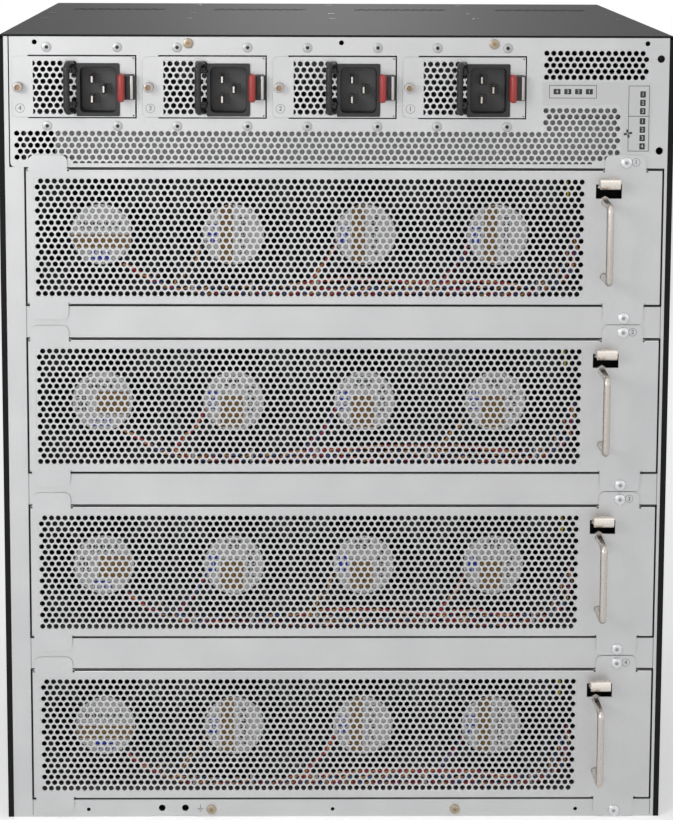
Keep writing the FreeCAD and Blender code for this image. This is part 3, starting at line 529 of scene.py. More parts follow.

# ---- Fan tray face plates ----
# Each plate is one punched galvanised sheet with four screw tabs, a field of round holes over the fans, a
# window for the latch and two holes for the handle. Small reliefs beside each tab let the upper and lower
# edges fold back, and the fold at the top is painted near-white as a painted highlight.
tray_bodies = {n: f"fan_tray_{n}" for n in range(1, 5)}
plate_sheet = 1.2 * mm
tray_columns = 80
tray_rows = 20
tab_corner = 4 * mm
tab_relief = 1.6 * mm
window_x, window_end = 170.5 * mm, 187.5 * mm
# Painted highlight: a near-white colour for the light caught by the top folds.
fold_painted_highlight = finish("fold_painted_highlight", (0.90, 0.90, 0.90), (0.96, 0.96, 0.96), 0.2, 0.32, 0.4, relief=0.0)


def cylinder(vertices, radius, depth, place, axis):
    """A cylinder along an axis, with its middle at the place."""
    turns = {"X": (0, math.radians(90), 0), "Y": (math.radians(90), 0, 0), "Z": (0, 0, 0)}
    bpy.ops.object.select_all(action="DESELECT")
    bpy.ops.mesh.primitive_cylinder_add(vertices=vertices, radius=radius, depth=depth, location=place,
                                        rotation=turns[axis])
    bpy.ops.object.transform_apply(location=True, rotation=True)
    return bpy.context.object


def folded_edge(from_x, to_x, y, z):
    """The round of a folded edge, a rod as thick as the sheet."""
    fold = cylinder(12, plate_sheet / 2, to_x - from_x, ((from_x + to_x) / 2, y, z), "X")
    bpy.ops.object.shade_smooth_by_angle(angle=math.radians(50))
    return fold


def tab(first, last, end, root, edge_before, edge_after):
    """A screw tab from one place to another along an edge, with a relief at both its sides."""
    r = math.copysign(tab_relief, last - first)
    return [(first - r, edge_before, 0), (first - r, root, 0), (first, root, 0), (first, end, tab_corner),
            (last, end, tab_corner), (last, root, 0), (last + r, root, 0), (last + r, edge_after, 0)]


def tray_plate(n):
    """One plate: the tabbed sheet, its field of holes and the rounds of its folded edges."""
    low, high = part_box(f"tray_{n}_box")
    x0, x1, z0, z1 = low.x, high.x, low.z, high.z
    trim = 0.5 * mm
    left, right, foot, head = x0 + trim, x1 - trim, z0 + trim, z1 - trim
    left_in, left_out = x0 + 1.9 * mm, x0 + 27.1 * mm
    right_out, right_in = x1 - 11.1 * mm, x1 - 37.9 * mm
    left_down, left_up = z0 - 9.5 * mm, z1 + 9.0 * mm
    right_down, right_up = z0 - 12.3 * mm, z1 + 9.8 * mm
    r = tab_relief
    fold_low, fold_high = foot + plate_sheet / 2, head - plate_sheet / 2
    edge = rounded(
        [(left, foot, 0)]
        + tab(left_in, left_out, left_down, z0 + r, foot, fold_low)
        + tab(right_in, right_out, right_down, z0 + r, fold_low, fold_low)
        + [(right, fold_low, 0), (right, fold_high, 0)]
        + tab(right_out, right_in, right_up, z1 - r, fold_high, fold_high)
        + tab(left_out, left_in, left_up, z1 - r, fold_high, head)
        + [(left, head, 0)]
    )
    front = low.y - plate_sheet
    field_x = x0 + 5.35 * mm
    field_z = z0 + 5.65 * mm
    field_end = field_x + (tray_columns + 0.5) * vent_pitch
    field_top = field_z + tray_rows * vent_rise
    handle_low, handle_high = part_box(f"tray_{n}_handle")
    rod_x = (handle_low.x + handle_high.x) / 2
    rod = 2.45 * mm
    nut = 4 * mm
    openings = [
        block(field_x, field_end, field_z, field_top),
        block(window_x, window_end, z1 - 18.8 * mm, z1 - 9.4 * mm),
        ring(rod_x, handle_low.z + nut, rod, 16),
        ring(rod_x, handle_high.z - nut, rod, 16),
    ]
    parts = [
        cut_sheet("plate_sheet", edge, openings, front, plate_sheet, 0.12 * mm, material=zinc),
        paint(vent_field("plate_field", field_x, field_z, front, tray_columns, tray_rows, plate_sheet), zinc),
    ]
    # The top folds get the painted highlight; the lower folds are plain zinc.
    for z, metal in ((fold_low, zinc), (fold_high, fold_painted_highlight)):
        for from_x, to_x in ((left_out + r, right_in - r), (right_out + r, right)):
            parts.append(paint(folded_edge(from_x, to_x, front + plate_sheet / 2, z), metal))
    return join(parts, f"tray_{n}_face")


tray_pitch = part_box("tray_1_box")[0].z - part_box("tray_2_box")[0].z
lowest_plate = tray_plate(4)
tray_plates = {4: lowest_plate}
for n in (3, 2, 1):
    tray_plates[n] = shift(copy_of(lowest_plate, f"tray_{n}_face"), 0, 0, (4 - n) * tray_pitch)
for n, plate in tray_plates.items():
    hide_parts(f"tray_{n}_plate")
    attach(plate, tray_bodies[n])

# ---- Tray screws and tray numbers ----
# Two captive pan screws with star sockets hold each tray at its right tabs. They are bright zinc-plated, with
# a darker grey painted in their sockets as painted shade, and the upper tab carries the tray's number in a
# printed ring.
screw_bright = finish("bright_plating", (0.62, 0.63, 0.64), (0.78, 0.79, 0.80), 0.9, 0.2, 0.32, relief=0.04)
# Painted shade: the socket finish is darker than the head, for the shade inside the socket.
socket_grey_shade = finish("socket_grey_shade", (0.30, 0.30, 0.31), (0.42, 0.42, 0.43), 0.8, 0.3, 0.45, relief=0.02)
print_ink = finish("print_ink", (0.045, 0.045, 0.05), (0.07, 0.07, 0.075), 0.0, 0.55, 0.65, relief=0.0)


def pick(piece, rule):
    """In edit mode, selects the vertices that the rule takes, and what lies between them."""
    bpy.ops.mesh.select_all(action="DESELECT")
    bpy.ops.object.mode_set(mode="OBJECT")
    for vertex in piece.data.vertices:
        vertex.select = rule(vertex.co)
    bpy.ops.object.mode_set(mode="EDIT")


def screw_head(name, radius, height, socket, depth, metal, socket_colour_and_shade, soft):
    """A round head on the origin's seat, pointing to the rear, with a socket of six lobes in the second
    finish, which on most heads is a painted shade.
    """
    head = cylinder(24, radius, height, (0, -height / 2, 0), "Y")
    reach = 0.01 * mm
    bpy.ops.object.mode_set(mode="EDIT")
    pick(head, lambda co: co.y < reach - height)
    bpy.ops.mesh.bevel(offset=soft, segments=2, affect="EDGES")
    pick(head, lambda co: co.y < reach - height)
    bpy.ops.mesh.inset(thickness=radius - soft - socket)
    bpy.ops.mesh.extrude_region_move(TRANSFORM_OT_translate={"value": (0, depth, 0)})
    lobe = math.radians(60)
    pick(head, lambda co: math.hypot(co.x, co.z) < socket * 1.05 and co.y < depth - height + reach
         and abs(math.atan2(co.z, co.x) % lobe - lobe / 2) < lobe / 6)
    bpy.ops.transform.resize(value=(0.74, 1, 0.74), center_override=(0, 0, 0))
    bpy.ops.object.mode_set(mode="OBJECT")
    paint(head, metal, socket_colour_and_shade)
    for face in head.data.polygons:
        face.material_index = 1 if math.hypot(face.center.x, face.center.z) < socket * 0.98 else 0
    bpy.ops.object.shade_smooth_by_angle(angle=math.radians(35))
    head.name = name
    return head


def at_places(piece, places):
    """Copies of one piece, one at each place (x, y, z); the piece itself is removed."""
    copies = [shift(copy_of(piece, piece.name), x, y, z) for x, y, z in places]
    bpy.data.objects.remove(piece)
    return copies


def printed(text, x, y, z, size, ink):
    """A plain numeral on an upright face."""
    bpy.ops.object.select_all(action="DESELECT")
    bpy.ops.object.text_add()
    numeral = bpy.context.object
    numeral.data.body = text
    numeral.data.size = size
    numeral.data.align_x = "CENTER"
    numeral.data.align_y = "CENTER"
    numeral.data.extrude = 0.02 * mm
    bpy.ops.object.convert(target="MESH")
    numeral = bpy.context.object
    numeral.rotation_euler = (math.radians(90), 0, 0)
    numeral.location = (x, y, z)
    bpy.ops.object.transform_apply(location=True, rotation=True)
    return paint(numeral, ink)


def number_ring(name, text, x, y, z, radius, size):
    """A numeral in a thin printed circle."""
    line = 0.22 * mm
    circle = cut_sheet("circle", ring(x, z, radius), [ring(x, z, radius - line)], y - 0.04 * mm, 0.04 * mm,
                       material=print_ink)
    return join([circle, printed(text, x, y - 0.03 * mm, z, size, print_ink)], name)


box_low, box_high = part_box("tray_4_box")
plate_face = box_low.y - plate_sheet
tab_screw_up = box_high.z + tab_screw_rise
tab_screw_down = box_low.z - 8.3 * mm
for n in range(1, 5):
    lift = (4 - n) * tray_pitch
    head = screw_head("tray_screw", 3.8 * mm, 2.0 * mm, 1.3 * mm, 0.5 * mm, screw_bright, socket_grey_shade,
                      1.1 * mm)
    heads = at_places(head, [(tab_screw_x, plate_face, z + lift) for z in (tab_screw_up, tab_screw_down)])
    tray_screws = join(heads, f"tray_{n}_screws")
    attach(tray_screws, tray_bodies[n])
    number = number_ring(f"tray_{n}_number", str(n), tab_screw_x + 6.4 * mm, plate_face,
                         tab_screw_up + lift + 0.2 * mm, 2.7 * mm, 4.2 * mm)
    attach(number, tray_bodies[n])

# ---- Tray boxes and fans ----
# The tray's folded shell is galvanised, and its rear rim is painted black as painted shade for the gap round
# the plate; the four fans in it have black moulded frames and motor hubs. The rotors turn behind the hubs.
# Each hub has a round white label with a brown field, a blue stamp and a line of small print.
fan_black = finish("fan_black", (0.006, 0.006, 0.0065), (0.012, 0.012, 0.013), 0.0, 0.5, 0.65, grain=1200)
label_white = finish("label_white", (0.95, 0.95, 0.94), (0.98, 0.98, 0.97), 0.0, 0.5, 0.6, relief=0.0)
label_brown = finish("label_brown", (0.34, 0.20, 0.075), (0.42, 0.26, 0.10), 0.0, 0.5, 0.6, relief=0.0)
stamp_blue = finish("stamp_blue", (0.03, 0.06, 0.62), (0.05, 0.10, 0.72), 0.0, 0.5, 0.6, relief=0.0)
label_radius = 20.2 * mm
label_sheet = 0.1 * mm
hub_face = box_low.y + 22.6 * mm
first_fan, fan_pitch = -156.3 * mm, 88.0 * mm
fan_z = (box_low.z + box_high.z) / 2 - 1.0 * mm
fan_rear, fan_front = box_low.y + 22 * mm, box_low.y + 60.7 * mm
fan_half = 41.5 * mm
tray_wall = 3 * mm
rim_end = box_low.y + 0.3 * mm


def disc_slice(low, high, radius):
    """The part of a disc between two heights, its ends on the disc's round."""
    start, end = math.asin(low / radius), math.asin(high / radius)
    arc = [start + (end - start) * step / 8 for step in range(9)]
    right = [(radius * math.cos(a), radius * math.sin(a)) for a in arc]
    return right + [(-x, z) for x, z in reversed(right)]


def print_marks(x0, x1, z0, z1, columns, rows):
    """Rows of short dashes that stand for small print."""
    marks = []
    step_x, step_z = (x1 - x0) / columns, (z1 - z0) / rows
    for row in range(rows):
        for column in range(columns):
            tall = 0.75 if (column * 3 + row * 2) % 4 else 0.45
            x, z = x0 + column * step_x, z0 + row * step_z
            marks.append(block(x, x + step_x * 0.62, z, z + step_z * tall))
    return marks


def fan_label(brown, stamps, prints, turned):
    """One label round the origin, at the hub's face; turned ones have their lines upright."""
    disc = ring(0, 0, label_radius, 48)
    layers = [cut_sheet("disc", disc, [], -label_sheet, label_sheet, material=label_white)]
    for shapes, ink in (([brown], label_brown), (stamps, stamp_blue), (prints, print_ink)):
        layers.append(cut_sheet("layer", shapes[0], shapes[1:], -2 * label_sheet, label_sheet, material=ink))
    label = join(layers, "label")
    if turned:
        label.data.transform(Matrix.Rotation(math.radians(90), 4, "Y"))
    return label


for n in range(1, 5):
    shell = coat(f"tray_{n}_box", zinc, fan_black, black_painted_shade)
    low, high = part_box(f"tray_{n}_box")
    for face in shell.data.polygons:
        x, y, z = face.center
        inside = fan_rear < y < fan_front and abs(z - (low.z + high.z) / 2) < fan_half
        if inside and low.x + tray_wall < x < high.x - tray_wall:
            face.material_index = 1
        # Painted shade: the rim faces at the shell's rear are black, for the shadow in the gap round the
        # plate.
        if y < rim_end:
            face.material_index = 2
    labels = []
    for fan in range(4):
        coat(f"tray_{n}_rotor_{fan + 1}", fan_black)
        if n in (1, 4):
            brown = disc_slice(-9 * mm, -0.2 * mm, label_radius - 0.3 * mm)
            stamps = print_marks(-6.8 * mm, 7.2 * mm, -17.0 * mm, -10.0 * mm, 3, 2)
            prints = print_marks(-14 * mm, 14 * mm, 4.2 * mm, 8.6 * mm, 13, 2)
        else:
            brown = block(-3.7 * mm, 17.6 * mm, -9 * mm, 6.5 * mm)
            stamps = print_marks(-6.8 * mm, 7.2 * mm, -17.0 * mm, -10.2 * mm, 3, 2)
            prints = print_marks(-10 * mm, 10 * mm, 9.2 * mm, 14.5 * mm, 8, 2)
            prints += print_marks(-17 * mm, -9.5 * mm, -6 * mm, 5.5 * mm, 3, 4)
        label = fan_label(brown, stamps, prints, fan > 0)
        labels.append(shift(label, first_fan + fan * fan_pitch, hub_face, fan_z + (4 - n) * tray_pitch))
    fan_labels = join(labels, f"tray_{n}_fan_labels")
    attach(fan_labels, tray_bodies[n])

# ---- Fan leads ----
# Each hub has a lead of thin insulated wires twisted together, and all leads run along the tray's floor
# in one loose bundle to the plug at the right. White nylon ties hold the bundle.
red, orange, blue, black, yellow, tie_white = [
    finish(name, dark, light, 0.0, 0.4, 0.5, relief=0.0) for name, dark, light in (
        ("wire_red", (0.6, 0.03, 0.0675), (0.78, 0.0675, 0.105)),
        ("wire_orange", (0.75, 0.36, 0.12), (0.93, 0.48, 0.18)),
        ("wire_blue", (0.045, 0.135, 0.39), (0.075, 0.195, 0.51)),
        ("wire_black", (0.012, 0.012, 0.013), (0.02, 0.02, 0.021)),
        ("wire_yellow", (0.95, 0.72, 0.045), (0.95, 0.87, 0.09)),
        ("tie_nylon", (0.75, 0.75, 0.73), (0.82, 0.82, 0.80)))
]
wire_radius = 0.85 * mm
twist_pitch = 13 * mm
bundle_y = plate_face + 11.2 * mm


def through(points, steps):
    """A smooth run through a few places, each (x, y, z) in millimetres above the lowest tray's floor."""
    places = [Vector((x * mm, bundle_y + y * mm, box_low.z + z * mm)) for x, y, z in points]
    last = len(places) - 1
    run = []
    for i in range(last):
        a, b, c, d = places[max(i - 1, 0)], places[i], places[i + 1], places[min(i + 2, last)]
        for step in range(steps):
            t = step / steps
            run.append(((2 * b) + (c - a) * t + (2 * a - 5 * b + 4 * c - d) * t * t
                        + (3 * b - a - 3 * c + d) * t ** 3) / 2)
    run.append(places[-1])
    return run


def round_rod(name, places, radius, resolution):
    """A round rod along straight lines through the places, closed at both ends."""
    curve = bpy.data.curves.new(name, "CURVE")
    curve.dimensions = "3D"
    curve.bevel_depth = radius
    curve.bevel_resolution = resolution
    curve.use_fill_caps = True
    add_spline(curve, places)
    return mesh_of(curve)


def smoothed(piece, material):
    """Gives a piece its material and smooth shading all over."""
    for face in piece.data.polygons:
        face.use_smooth = True
    return paint(piece, material)


def twisted_lead(points, steps, colours, spread):
    """Wires twisted round a smooth run through the points, one for each colour."""
    run = through(points, steps)
    wires = []
    for index, colour in enumerate(colours):
        places = []
        reach = 0
        for i, place in enumerate(run):
            if i:
                reach += (place - run[i - 1]).length
            along = (run[min(i + 1, len(run) - 1)] - run[max(i - 1, 0)]).normalized()
            side = Vector((-along.z, 0, along.x))
            angle = 2 * math.pi * (reach / twist_pitch + index / len(colours))
            lean = side * math.cos(angle) * spread + Vector((0, 1, 0)) * math.sin(angle) * spread
            places.append(place + lean)
        wires.append(smoothed(round_rod("wire", places, wire_radius, 1), colour))
    return wires


def tie(x, z):
    """A nylon tie round the bundle."""
    bpy.ops.object.select_all(action="DESELECT")
    bpy.ops.mesh.primitive_torus_add(location=(x * mm, bundle_y, box_low.z + z * mm),
                                     rotation=(0, math.radians(90), 0), major_segments=16, minor_segments=6,
                                     major_radius=3.6 * mm, minor_radius=1.3 * mm)
    bpy.ops.object.transform_apply(location=True, rotation=True)
    return smoothed(bpy.context.object, tie_white)


def harness(n):
    """The leads of one tray, at the lowest tray's place, in millimetres from its floor and its middle."""
    wave = 1.0 if n % 2 else -1.0
    wires = twisted_lead([(-141, 9, 25), (-128, 3, 18), (-112, 0, 11), (-90, 0, 7.5)], 6, [red, orange],
                         0.9 * mm)
    for i in (1, 2, 3):
        x = -156.3 + 88.0 * i
        colours = [[orange, red], [blue, red], [orange, black]][(i + n) % 3]
        wires += twisted_lead([(x - 19, 9, 39), (x - 25, 5, 29), (x - 35 + wave, 1, 18), (x - 37, 0, 13),
                               (x - 26, 0, 8.5), (x - 12, 0, 7.5)], 6, colours, 0.9 * mm)
    wires += twisted_lead([(-116, 3, 19), (-121, 2, 15), (-112, 0, 11.5), (-92, 0, 10.5),
                           (-50, 0, 10.5 + wave), (-10, 1, 11), (30, 0, 10.5 - wave), (80, 0, 11),
                           (120, 1, 11), (141, 1, 14), (152, 1, 26), (156, 3, 40)], 8,
                          [blue, orange, black], 1.3 * mm)
    wires += twisted_lead([(-92, 0, 7), (-50, 1, 6.5), (-10, 0, 7 - wave), (30, 1, 6.5), (80, 0, 7),
                           (120, 0, 6.5), (143, 1, 11), (157, 2, 24), (160, 4, 46)], 8,
                          [orange, blue, red], 1.3 * mm)
    wires += twisted_lead([(-30, 1, 11), (-5, 0, 14.5 + wave), (30, 0, 15.5), (65, 0, 14.5 - wave),
                           (95, 0, 15), (125, 0, 11)], 8, [red, orange], 1.0 * mm)
    wires += twisted_lead([(153, 2, 69), (153.5, 1, 75), (152.5, 2, 81)], 4, [yellow], 0)
    ties = [tie(x, z) for x, z in ((-95, 9), (-56, 9), (-12, 10), (62, 10), (134, 10))]
    return join(wires + ties, f"tray_{n}_leads")


for n in range(1, 5):
    leads = shift(harness(n), 0, 0, (4 - n) * tray_pitch)
    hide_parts(f"tray_{n}_harness")
    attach(leads, tray_bodies[n])

# ---- Handles and latches of the trays ----
# Bent rods, bolted behind the plates, and rolled spring tongues. Both are nickel-plated and slightly warm in
# tone, and the rolled sheet is the brighter of the two.
nickel = finish("nickel_plate", (0.52, 0.48, 0.44), (0.57, 0.53, 0.49), 1.0, 0.26, 0.31,
                grain=500, relief=0.0)
latch_nickel = finish("latch_nickel", (0.72, 0.67, 0.61), (0.78, 0.73, 0.67), 1.0, 0.24, 0.29,
                      grain=500, relief=0.0)
handle_rod = 2.4 * mm


def tray_handle(n):
    """One rod bent square at both ends, held behind the plate by a nut at each end."""
    low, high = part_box(f"tray_{n}_handle")
    x = (low.x + high.x) / 2
    bend = 3.4 * mm
    nut = 4 * mm
    front = low.y + handle_rod
    foot, head = low.z + nut, high.z - nut
    path = [(high.y, foot)]
    for step in range(9):
        turn = math.radians(11.25 * step)
        path.append((front + bend - bend * math.sin(turn), foot + bend - bend * math.cos(turn)))
    path += [(y, head + foot - z) for y, z in path[::-1]]
    parts = [round_rod("handle_rod", [(x, y, z) for y, z in path], handle_rod, 4)]
    plate_rear = plate_face + plate_sheet
    for z in (foot, head):
        parts.append(cylinder(6, nut, high.y - plate_rear, (x, (high.y + plate_rear) / 2, z), "Y"))
    handle = join(parts, f"tray_{n}_pull")
    bpy.ops.object.shade_smooth_by_angle(angle=math.radians(35))
    return paint(handle, nickel)


for n in range(1, 5):
    handle = tray_handle(n)
    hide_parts(f"tray_{n}_handle")
    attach(handle, tray_bodies[n])


def tray_latch(n):
    """A tongue out of the window, with a curled lip that stands up in front of the plate."""
    low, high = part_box(f"tray_{n}_latch")
    sheet = 1.0 * mm
    curl = 3.85 * mm
    lip_y, lip_z = low.y + curl, high.z - 2.3 * mm
    tongue_low = lip_z - 2.65 * mm
    tongue_high = tongue_low + sheet
    root = lip_y + 2.4 * mm
    back, foot = high.y - sheet, high.z - 6.2 * mm
    tongue = [(high.y, foot), (back, foot), (back, tongue_low), (root, tongue_low), (root, tongue_high),
              (back, tongue_high), (back, high.z), (high.y, high.z)]
    outer, inner = [], []
    for step in range(15):
        angle = math.radians(20 * step - 35)
        for side, radius in ((outer, curl), (inner, curl - sheet)):
            side.append((lip_y + radius * math.cos(angle), lip_z + radius * math.sin(angle)))
    wide = high.x - low.x - 1.2 * mm
    profiles = [cut_sheet("profile", outline, [], low.x + 0.1 * mm, wide, 0.12 * mm, upright=False)
                for outline in (tongue, outer + inner[::-1])]
    latch = join(profiles, f"tray_{n}_latch_tongue")
    swapped_axes = Matrix(((0, 0, 1, 0), (1, 0, 0, 0), (0, 1, 0, 0), (0, 0, 0, 1)))
    latch.data.transform(swapped_axes)
    bpy.ops.object.shade_smooth_by_angle(angle=math.radians(35))
    return paint(latch, latch_nickel)


for n in range(1, 5):
    latch = tray_latch(n)
    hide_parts(f"tray_{n}_latch")
    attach(latch, f"fan_tray_{n}_latch")

# ---- Power supplies ----
# Each supply is a folded galvanised case with a pierced face, an ear with a thumbscrew at its left, a black
# appliance inlet turned on its side, and two small ears that carry a black wire bail.
inlet_black = finish("inlet_black", (0.010, 0.010, 0.011), (0.017, 0.017, 0.018), 0.0, 0.28, 0.4, grain=1500)
bail_black = finish("bail_black", (0.010, 0.010, 0.011), (0.018, 0.018, 0.019), 0.0, 0.22, 0.34, grain=1500)
brass = finish("brass_socket", (0.36, 0.24, 0.14), (0.48, 0.34, 0.22), 0.6, 0.4, 0.55, relief=0.02)
# Painted reflection: the socket's floor is a lighter grey than the black moulding, for the light it reflects.
inlet_floor_sheen = finish("inlet_floor_sheen", (0.11, 0.108, 0.112), (0.14, 0.138, 0.142), 0.0, 0.35, 0.5, grain=1500)
thumb_satin = finish("thumb_satin", (0.46, 0.44, 0.42), (0.56, 0.54, 0.52), 0.5, 0.35, 0.5, relief=0.04)
face_y = rear_y - 1.3 * mm
face_sheet = 1.0 * mm
edge = bay_right_ends[0]
supply_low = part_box("psu_4_inlet")[0].z - 0.7 * mm
supply_high = supply_low + 39.6 * mm
supply_mid = (bay_low + bay_high) / 2
case_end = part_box("psu_4_case")[1].y
case_right = edge - bay_edge_gap
latch_in, latch_pin = 5 * mm, 1.5 * mm


def solid_block(x0, x1, y0, y1, z0, z1):
    """A plain block between its six sides."""
    bpy.ops.object.select_all(action="DESELECT")
    bpy.ops.mesh.primitive_cube_add(size=1, location=((x0 + x1) / 2, (y0 + y1) / 2, (z0 + z1) / 2))
    solid = bpy.context.object
    solid.scale = (x1 - x0, y1 - y0, z1 - z0)
    bpy.ops.object.transform_apply(location=True, scale=True)
    return solid


def supply_shell():
    """The folded box behind the face, open at the rear, with a slot for the catch in its right side."""
    slot_cutter = solid_block(case_right - 1.5 * mm, case_right + 1.5 * mm, face_y + 6 * mm, face_y + 17 * mm,
                              supply_mid - 5 * mm, supply_mid + 5 * mm)
    shell = solid_block(edge - 70 * mm, case_right, face_y + face_sheet, case_end, supply_low, supply_high)
    bpy.ops.object.mode_set(mode="EDIT")
    pick(shell, lambda co: co.y < face_y + face_sheet + 0.1 * mm)
    bpy.ops.mesh.delete(type="ONLY_FACE")
    bpy.ops.object.mode_set(mode="OBJECT")
    wall = shell.modifiers.new("wall", "SOLIDIFY")
    wall.thickness = face_sheet
    wall.offset = -1
    bpy.ops.object.modifier_apply(modifier="wall")
    slot_cut = shell.modifiers.new("catch_slot", "BOOLEAN")
    slot_cut.object = slot_cutter
    slot_cut.operation = "DIFFERENCE"
    bpy.ops.object.modifier_apply(modifier="catch_slot")
    bpy.data.objects.remove(slot_cutter)
    return shell


def supply_case():
    """The leftmost supply's case, with its face, grille, bail ears and latch pin."""
    notch = 1.5 * mm
    left, inner = edge - 81 * mm, case_right - notch
    grille_x = edge - 67.45 * mm
    grille_end = edge - 38.7 * mm
    grille_z = supply_low + 1.75 * mm
    rows = 9
    outline = rounded([
        (left, supply_low, 3 * mm), (inner, supply_low, 0), (inner, supply_low + notch, 0),
        (case_right, supply_low + notch, 0), (case_right, supply_high - notch, 0),
        (inner, supply_high - notch, 0), (inner, supply_high, 0), (left, supply_high, 3 * mm),
    ])
    inlet_low, inlet_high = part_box("psu_4_inlet")
    openings = [
        block(grille_x, grille_end, grille_z, grille_z + rows * vent_rise),
        block(edge - 38.2 * mm, edge - 11.9 * mm, inlet_low.z + 1 * mm, inlet_high.z - 1 * mm),
        block(edge - 9.6 * mm, edge - 2 * mm, supply_mid - 8.2 * mm, supply_mid + 8.2 * mm),
    ]
    field_x = grille_x - vent_pitch / 2 - 0.1 * mm
    pieces = [
        cut_sheet("face", outline, openings, face_y, face_sheet, 0.15 * mm),
        vent_field("grille", field_x, grille_z, face_y, 7, rows, face_sheet,
                   trims=[((grille_x, 0, 0), (-1, 0, 0)), ((grille_end, 0, 0), (1, 0, 0))]),
        supply_shell(),
    ]
    pivot_x, pivot_y = edge - 41.2 * mm, face_y - 3.4 * mm
    ear, ear_sheet, ear_root = 3 * mm, 1.2 * mm, face_y + 0.5 * mm
    tip = [(pivot_x + ear * math.cos(math.radians(a)), pivot_y - ear * math.sin(math.radians(a)))
           for a in range(0, 181, 20)]
    ear_outline = [(pivot_x + ear, ear_root)] + tip + [(pivot_x - ear, ear_root)]
    pivot = ring(pivot_x, pivot_y, 2.25 * mm, 20)
    for side in (-1, 1):
        under = supply_mid + side * 10.4 * mm - ear_sheet / 2
        pieces.append(cut_sheet("ear", ear_outline, [pivot], under, ear_sheet, 0.1 * mm, upright=False))
    pieces.append(cylinder(16, latch_pin, supply_high - supply_low - face_sheet,
                           (edge - latch_in, face_y + 46 * mm, supply_mid), "Z"))
    for piece in pieces:
        paint(piece, bail_black if piece.name.startswith("ear") else zinc)
    return join(pieces, "supply_case")


def pin_blade(x, z, mouth, floor_y):
    """A flat inlet pin with a tapered tip."""
    tip = mouth + 4.6 * mm
    half_x, half_z = 0.9 * mm, 3 * mm
    blade = solid_block(x - half_x, x + half_x, tip, floor_y, z - half_z, z + half_z)
    bpy.ops.object.mode_set(mode="EDIT")
    pick(blade, lambda co: co.y < tip + 0.1 * mm)
    bpy.ops.mesh.extrude_region_move(TRANSFORM_OT_translate={"value": (0, -1.2 * mm, 0)})
    bpy.ops.transform.resize(value=(0.6, 1, 0.68), center_override=(x, tip, z))
    bpy.ops.object.mode_set(mode="OBJECT")
    return paint(blade, nickel)


def supply_inlet():
    """The leftmost supply's inlet: a flange, a deep socket with rounded corners, three pins and a painted
    shadow beside each pin.
    """
    low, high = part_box("psu_4_inlet")
    socket_floor = low.y + 17.6 * mm
    middle_x, middle_z = (low.x + high.x) / 2, (low.z + high.z) / 2
    half_x, half_z = 11.6 * mm, 14.85 * mm
    mouth = block(middle_x - half_x, middle_x + half_x, middle_z - half_z, middle_z + half_z, 3 * mm)
    body = block(low.x + 1.1 * mm, high.x - 1.1 * mm, low.z + 1.1 * mm, high.z - 1.1 * mm)
    pieces = [
        cut_sheet("flange", block(low.x, high.x, low.z, high.z, 1 * mm), [mouth], low.y, face_y - low.y,
                  0.3 * mm, material=inlet_black),
        cut_sheet("socket", body, [mouth], face_y, socket_floor - face_y, material=inlet_black),
        # The floor's lighter grey is a painted reflection.
        cut_sheet("socket_floor", body, [], socket_floor, high.y - socket_floor, material=inlet_floor_sheen),
    ]
    for x, rise in ((edge - 29.3 * mm, 6.5 * mm), (edge - 29.3 * mm, -6.5 * mm), (edge - 21.7 * mm, 0)):
        z = middle_z + rise
        # Painted shadow: a near-black sheet on the floor, right of each pin, for the pin's shadow.
        pin_shadow = block(x - 1.2 * mm, x + 4.6 * mm, z - 3.6 * mm, z + 3.2 * mm, 0.6 * mm)
        pieces.append(pin_blade(x, z, low.y, socket_floor + 0.5 * mm))
        pieces.append(cut_sheet("pin_shadow", pin_shadow, [], socket_floor - 0.3 * mm, 0.35 * mm,
                                material=inlet_black))
    return join(pieces, "supply_inlet")


first_case = supply_case()
first_inlet = supply_inlet()
for n in range(1, 5):
    body = f"supply_{n}"
    across = (4 - n) * bay_pitch
    case = shift(copy_of(first_case, f"psu_{n}_sheet_case"), across, 0, 0)
    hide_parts(f"psu_{n}_case")
    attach(case, body)
    inlet = shift(copy_of(first_inlet, f"psu_{n}_socket"), across, 0, 0)
    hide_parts(f"psu_{n}_inlet")
    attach(inlet, body)
    thumb_x = edge - 76.9 * mm + across
    thumb = screw_head(f"psu_{n}_thumbscrew", 3.3 * mm, 7.8 * mm, 2.0 * mm, 1.8 * mm, thumb_satin, brass,
                       0.5 * mm)
    shift(thumb, thumb_x, face_y, supply_mid)
    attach(thumb, body)
    number = number_ring(f"psu_{n}_number", str(n), thumb_x + 0.9 * mm, face_y, supply_low + 5.8 * mm,
                         3.0 * mm, 4.4 * mm)
    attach(number, body)
    coat(f"psu_{n}_handle", bail_black)
bpy.data.objects.remove(first_case)
bpy.data.objects.remove(first_inlet)

# ---- Supply latches ----
# A sprung steel lever with a black moulded block in front and a red thumb tab beside it.
tab_red = finish("tab_red", (0.42, 0.045, 0.042), (0.52, 0.065, 0.06), 0.0, 0.3, 0.42,
                 grain=1500, relief=0.02)
lever_steel = finish("lever_steel", (0.42, 0.40, 0.38), (0.55, 0.53, 0.5), 0.9, 0.3, 0.42, grain=700)


def moulded_block(x0, x1, y0, y1, half_z, soft, material):
    """A block with rounded edges, at the middle height of the supplies."""
    solid = solid_block(x0, x1, y0, y1, supply_mid - half_z, supply_mid + half_z)
    bpy.ops.object.mode_set(mode="EDIT")
    bpy.ops.mesh.select_all(action="SELECT")
    bpy.ops.mesh.bevel(offset=soft, segments=3, affect="EDGES")
    bpy.ops.object.mode_set(mode="OBJECT")
    bpy.ops.object.shade_smooth_by_angle(angle=math.radians(40))
    return paint(solid, material)


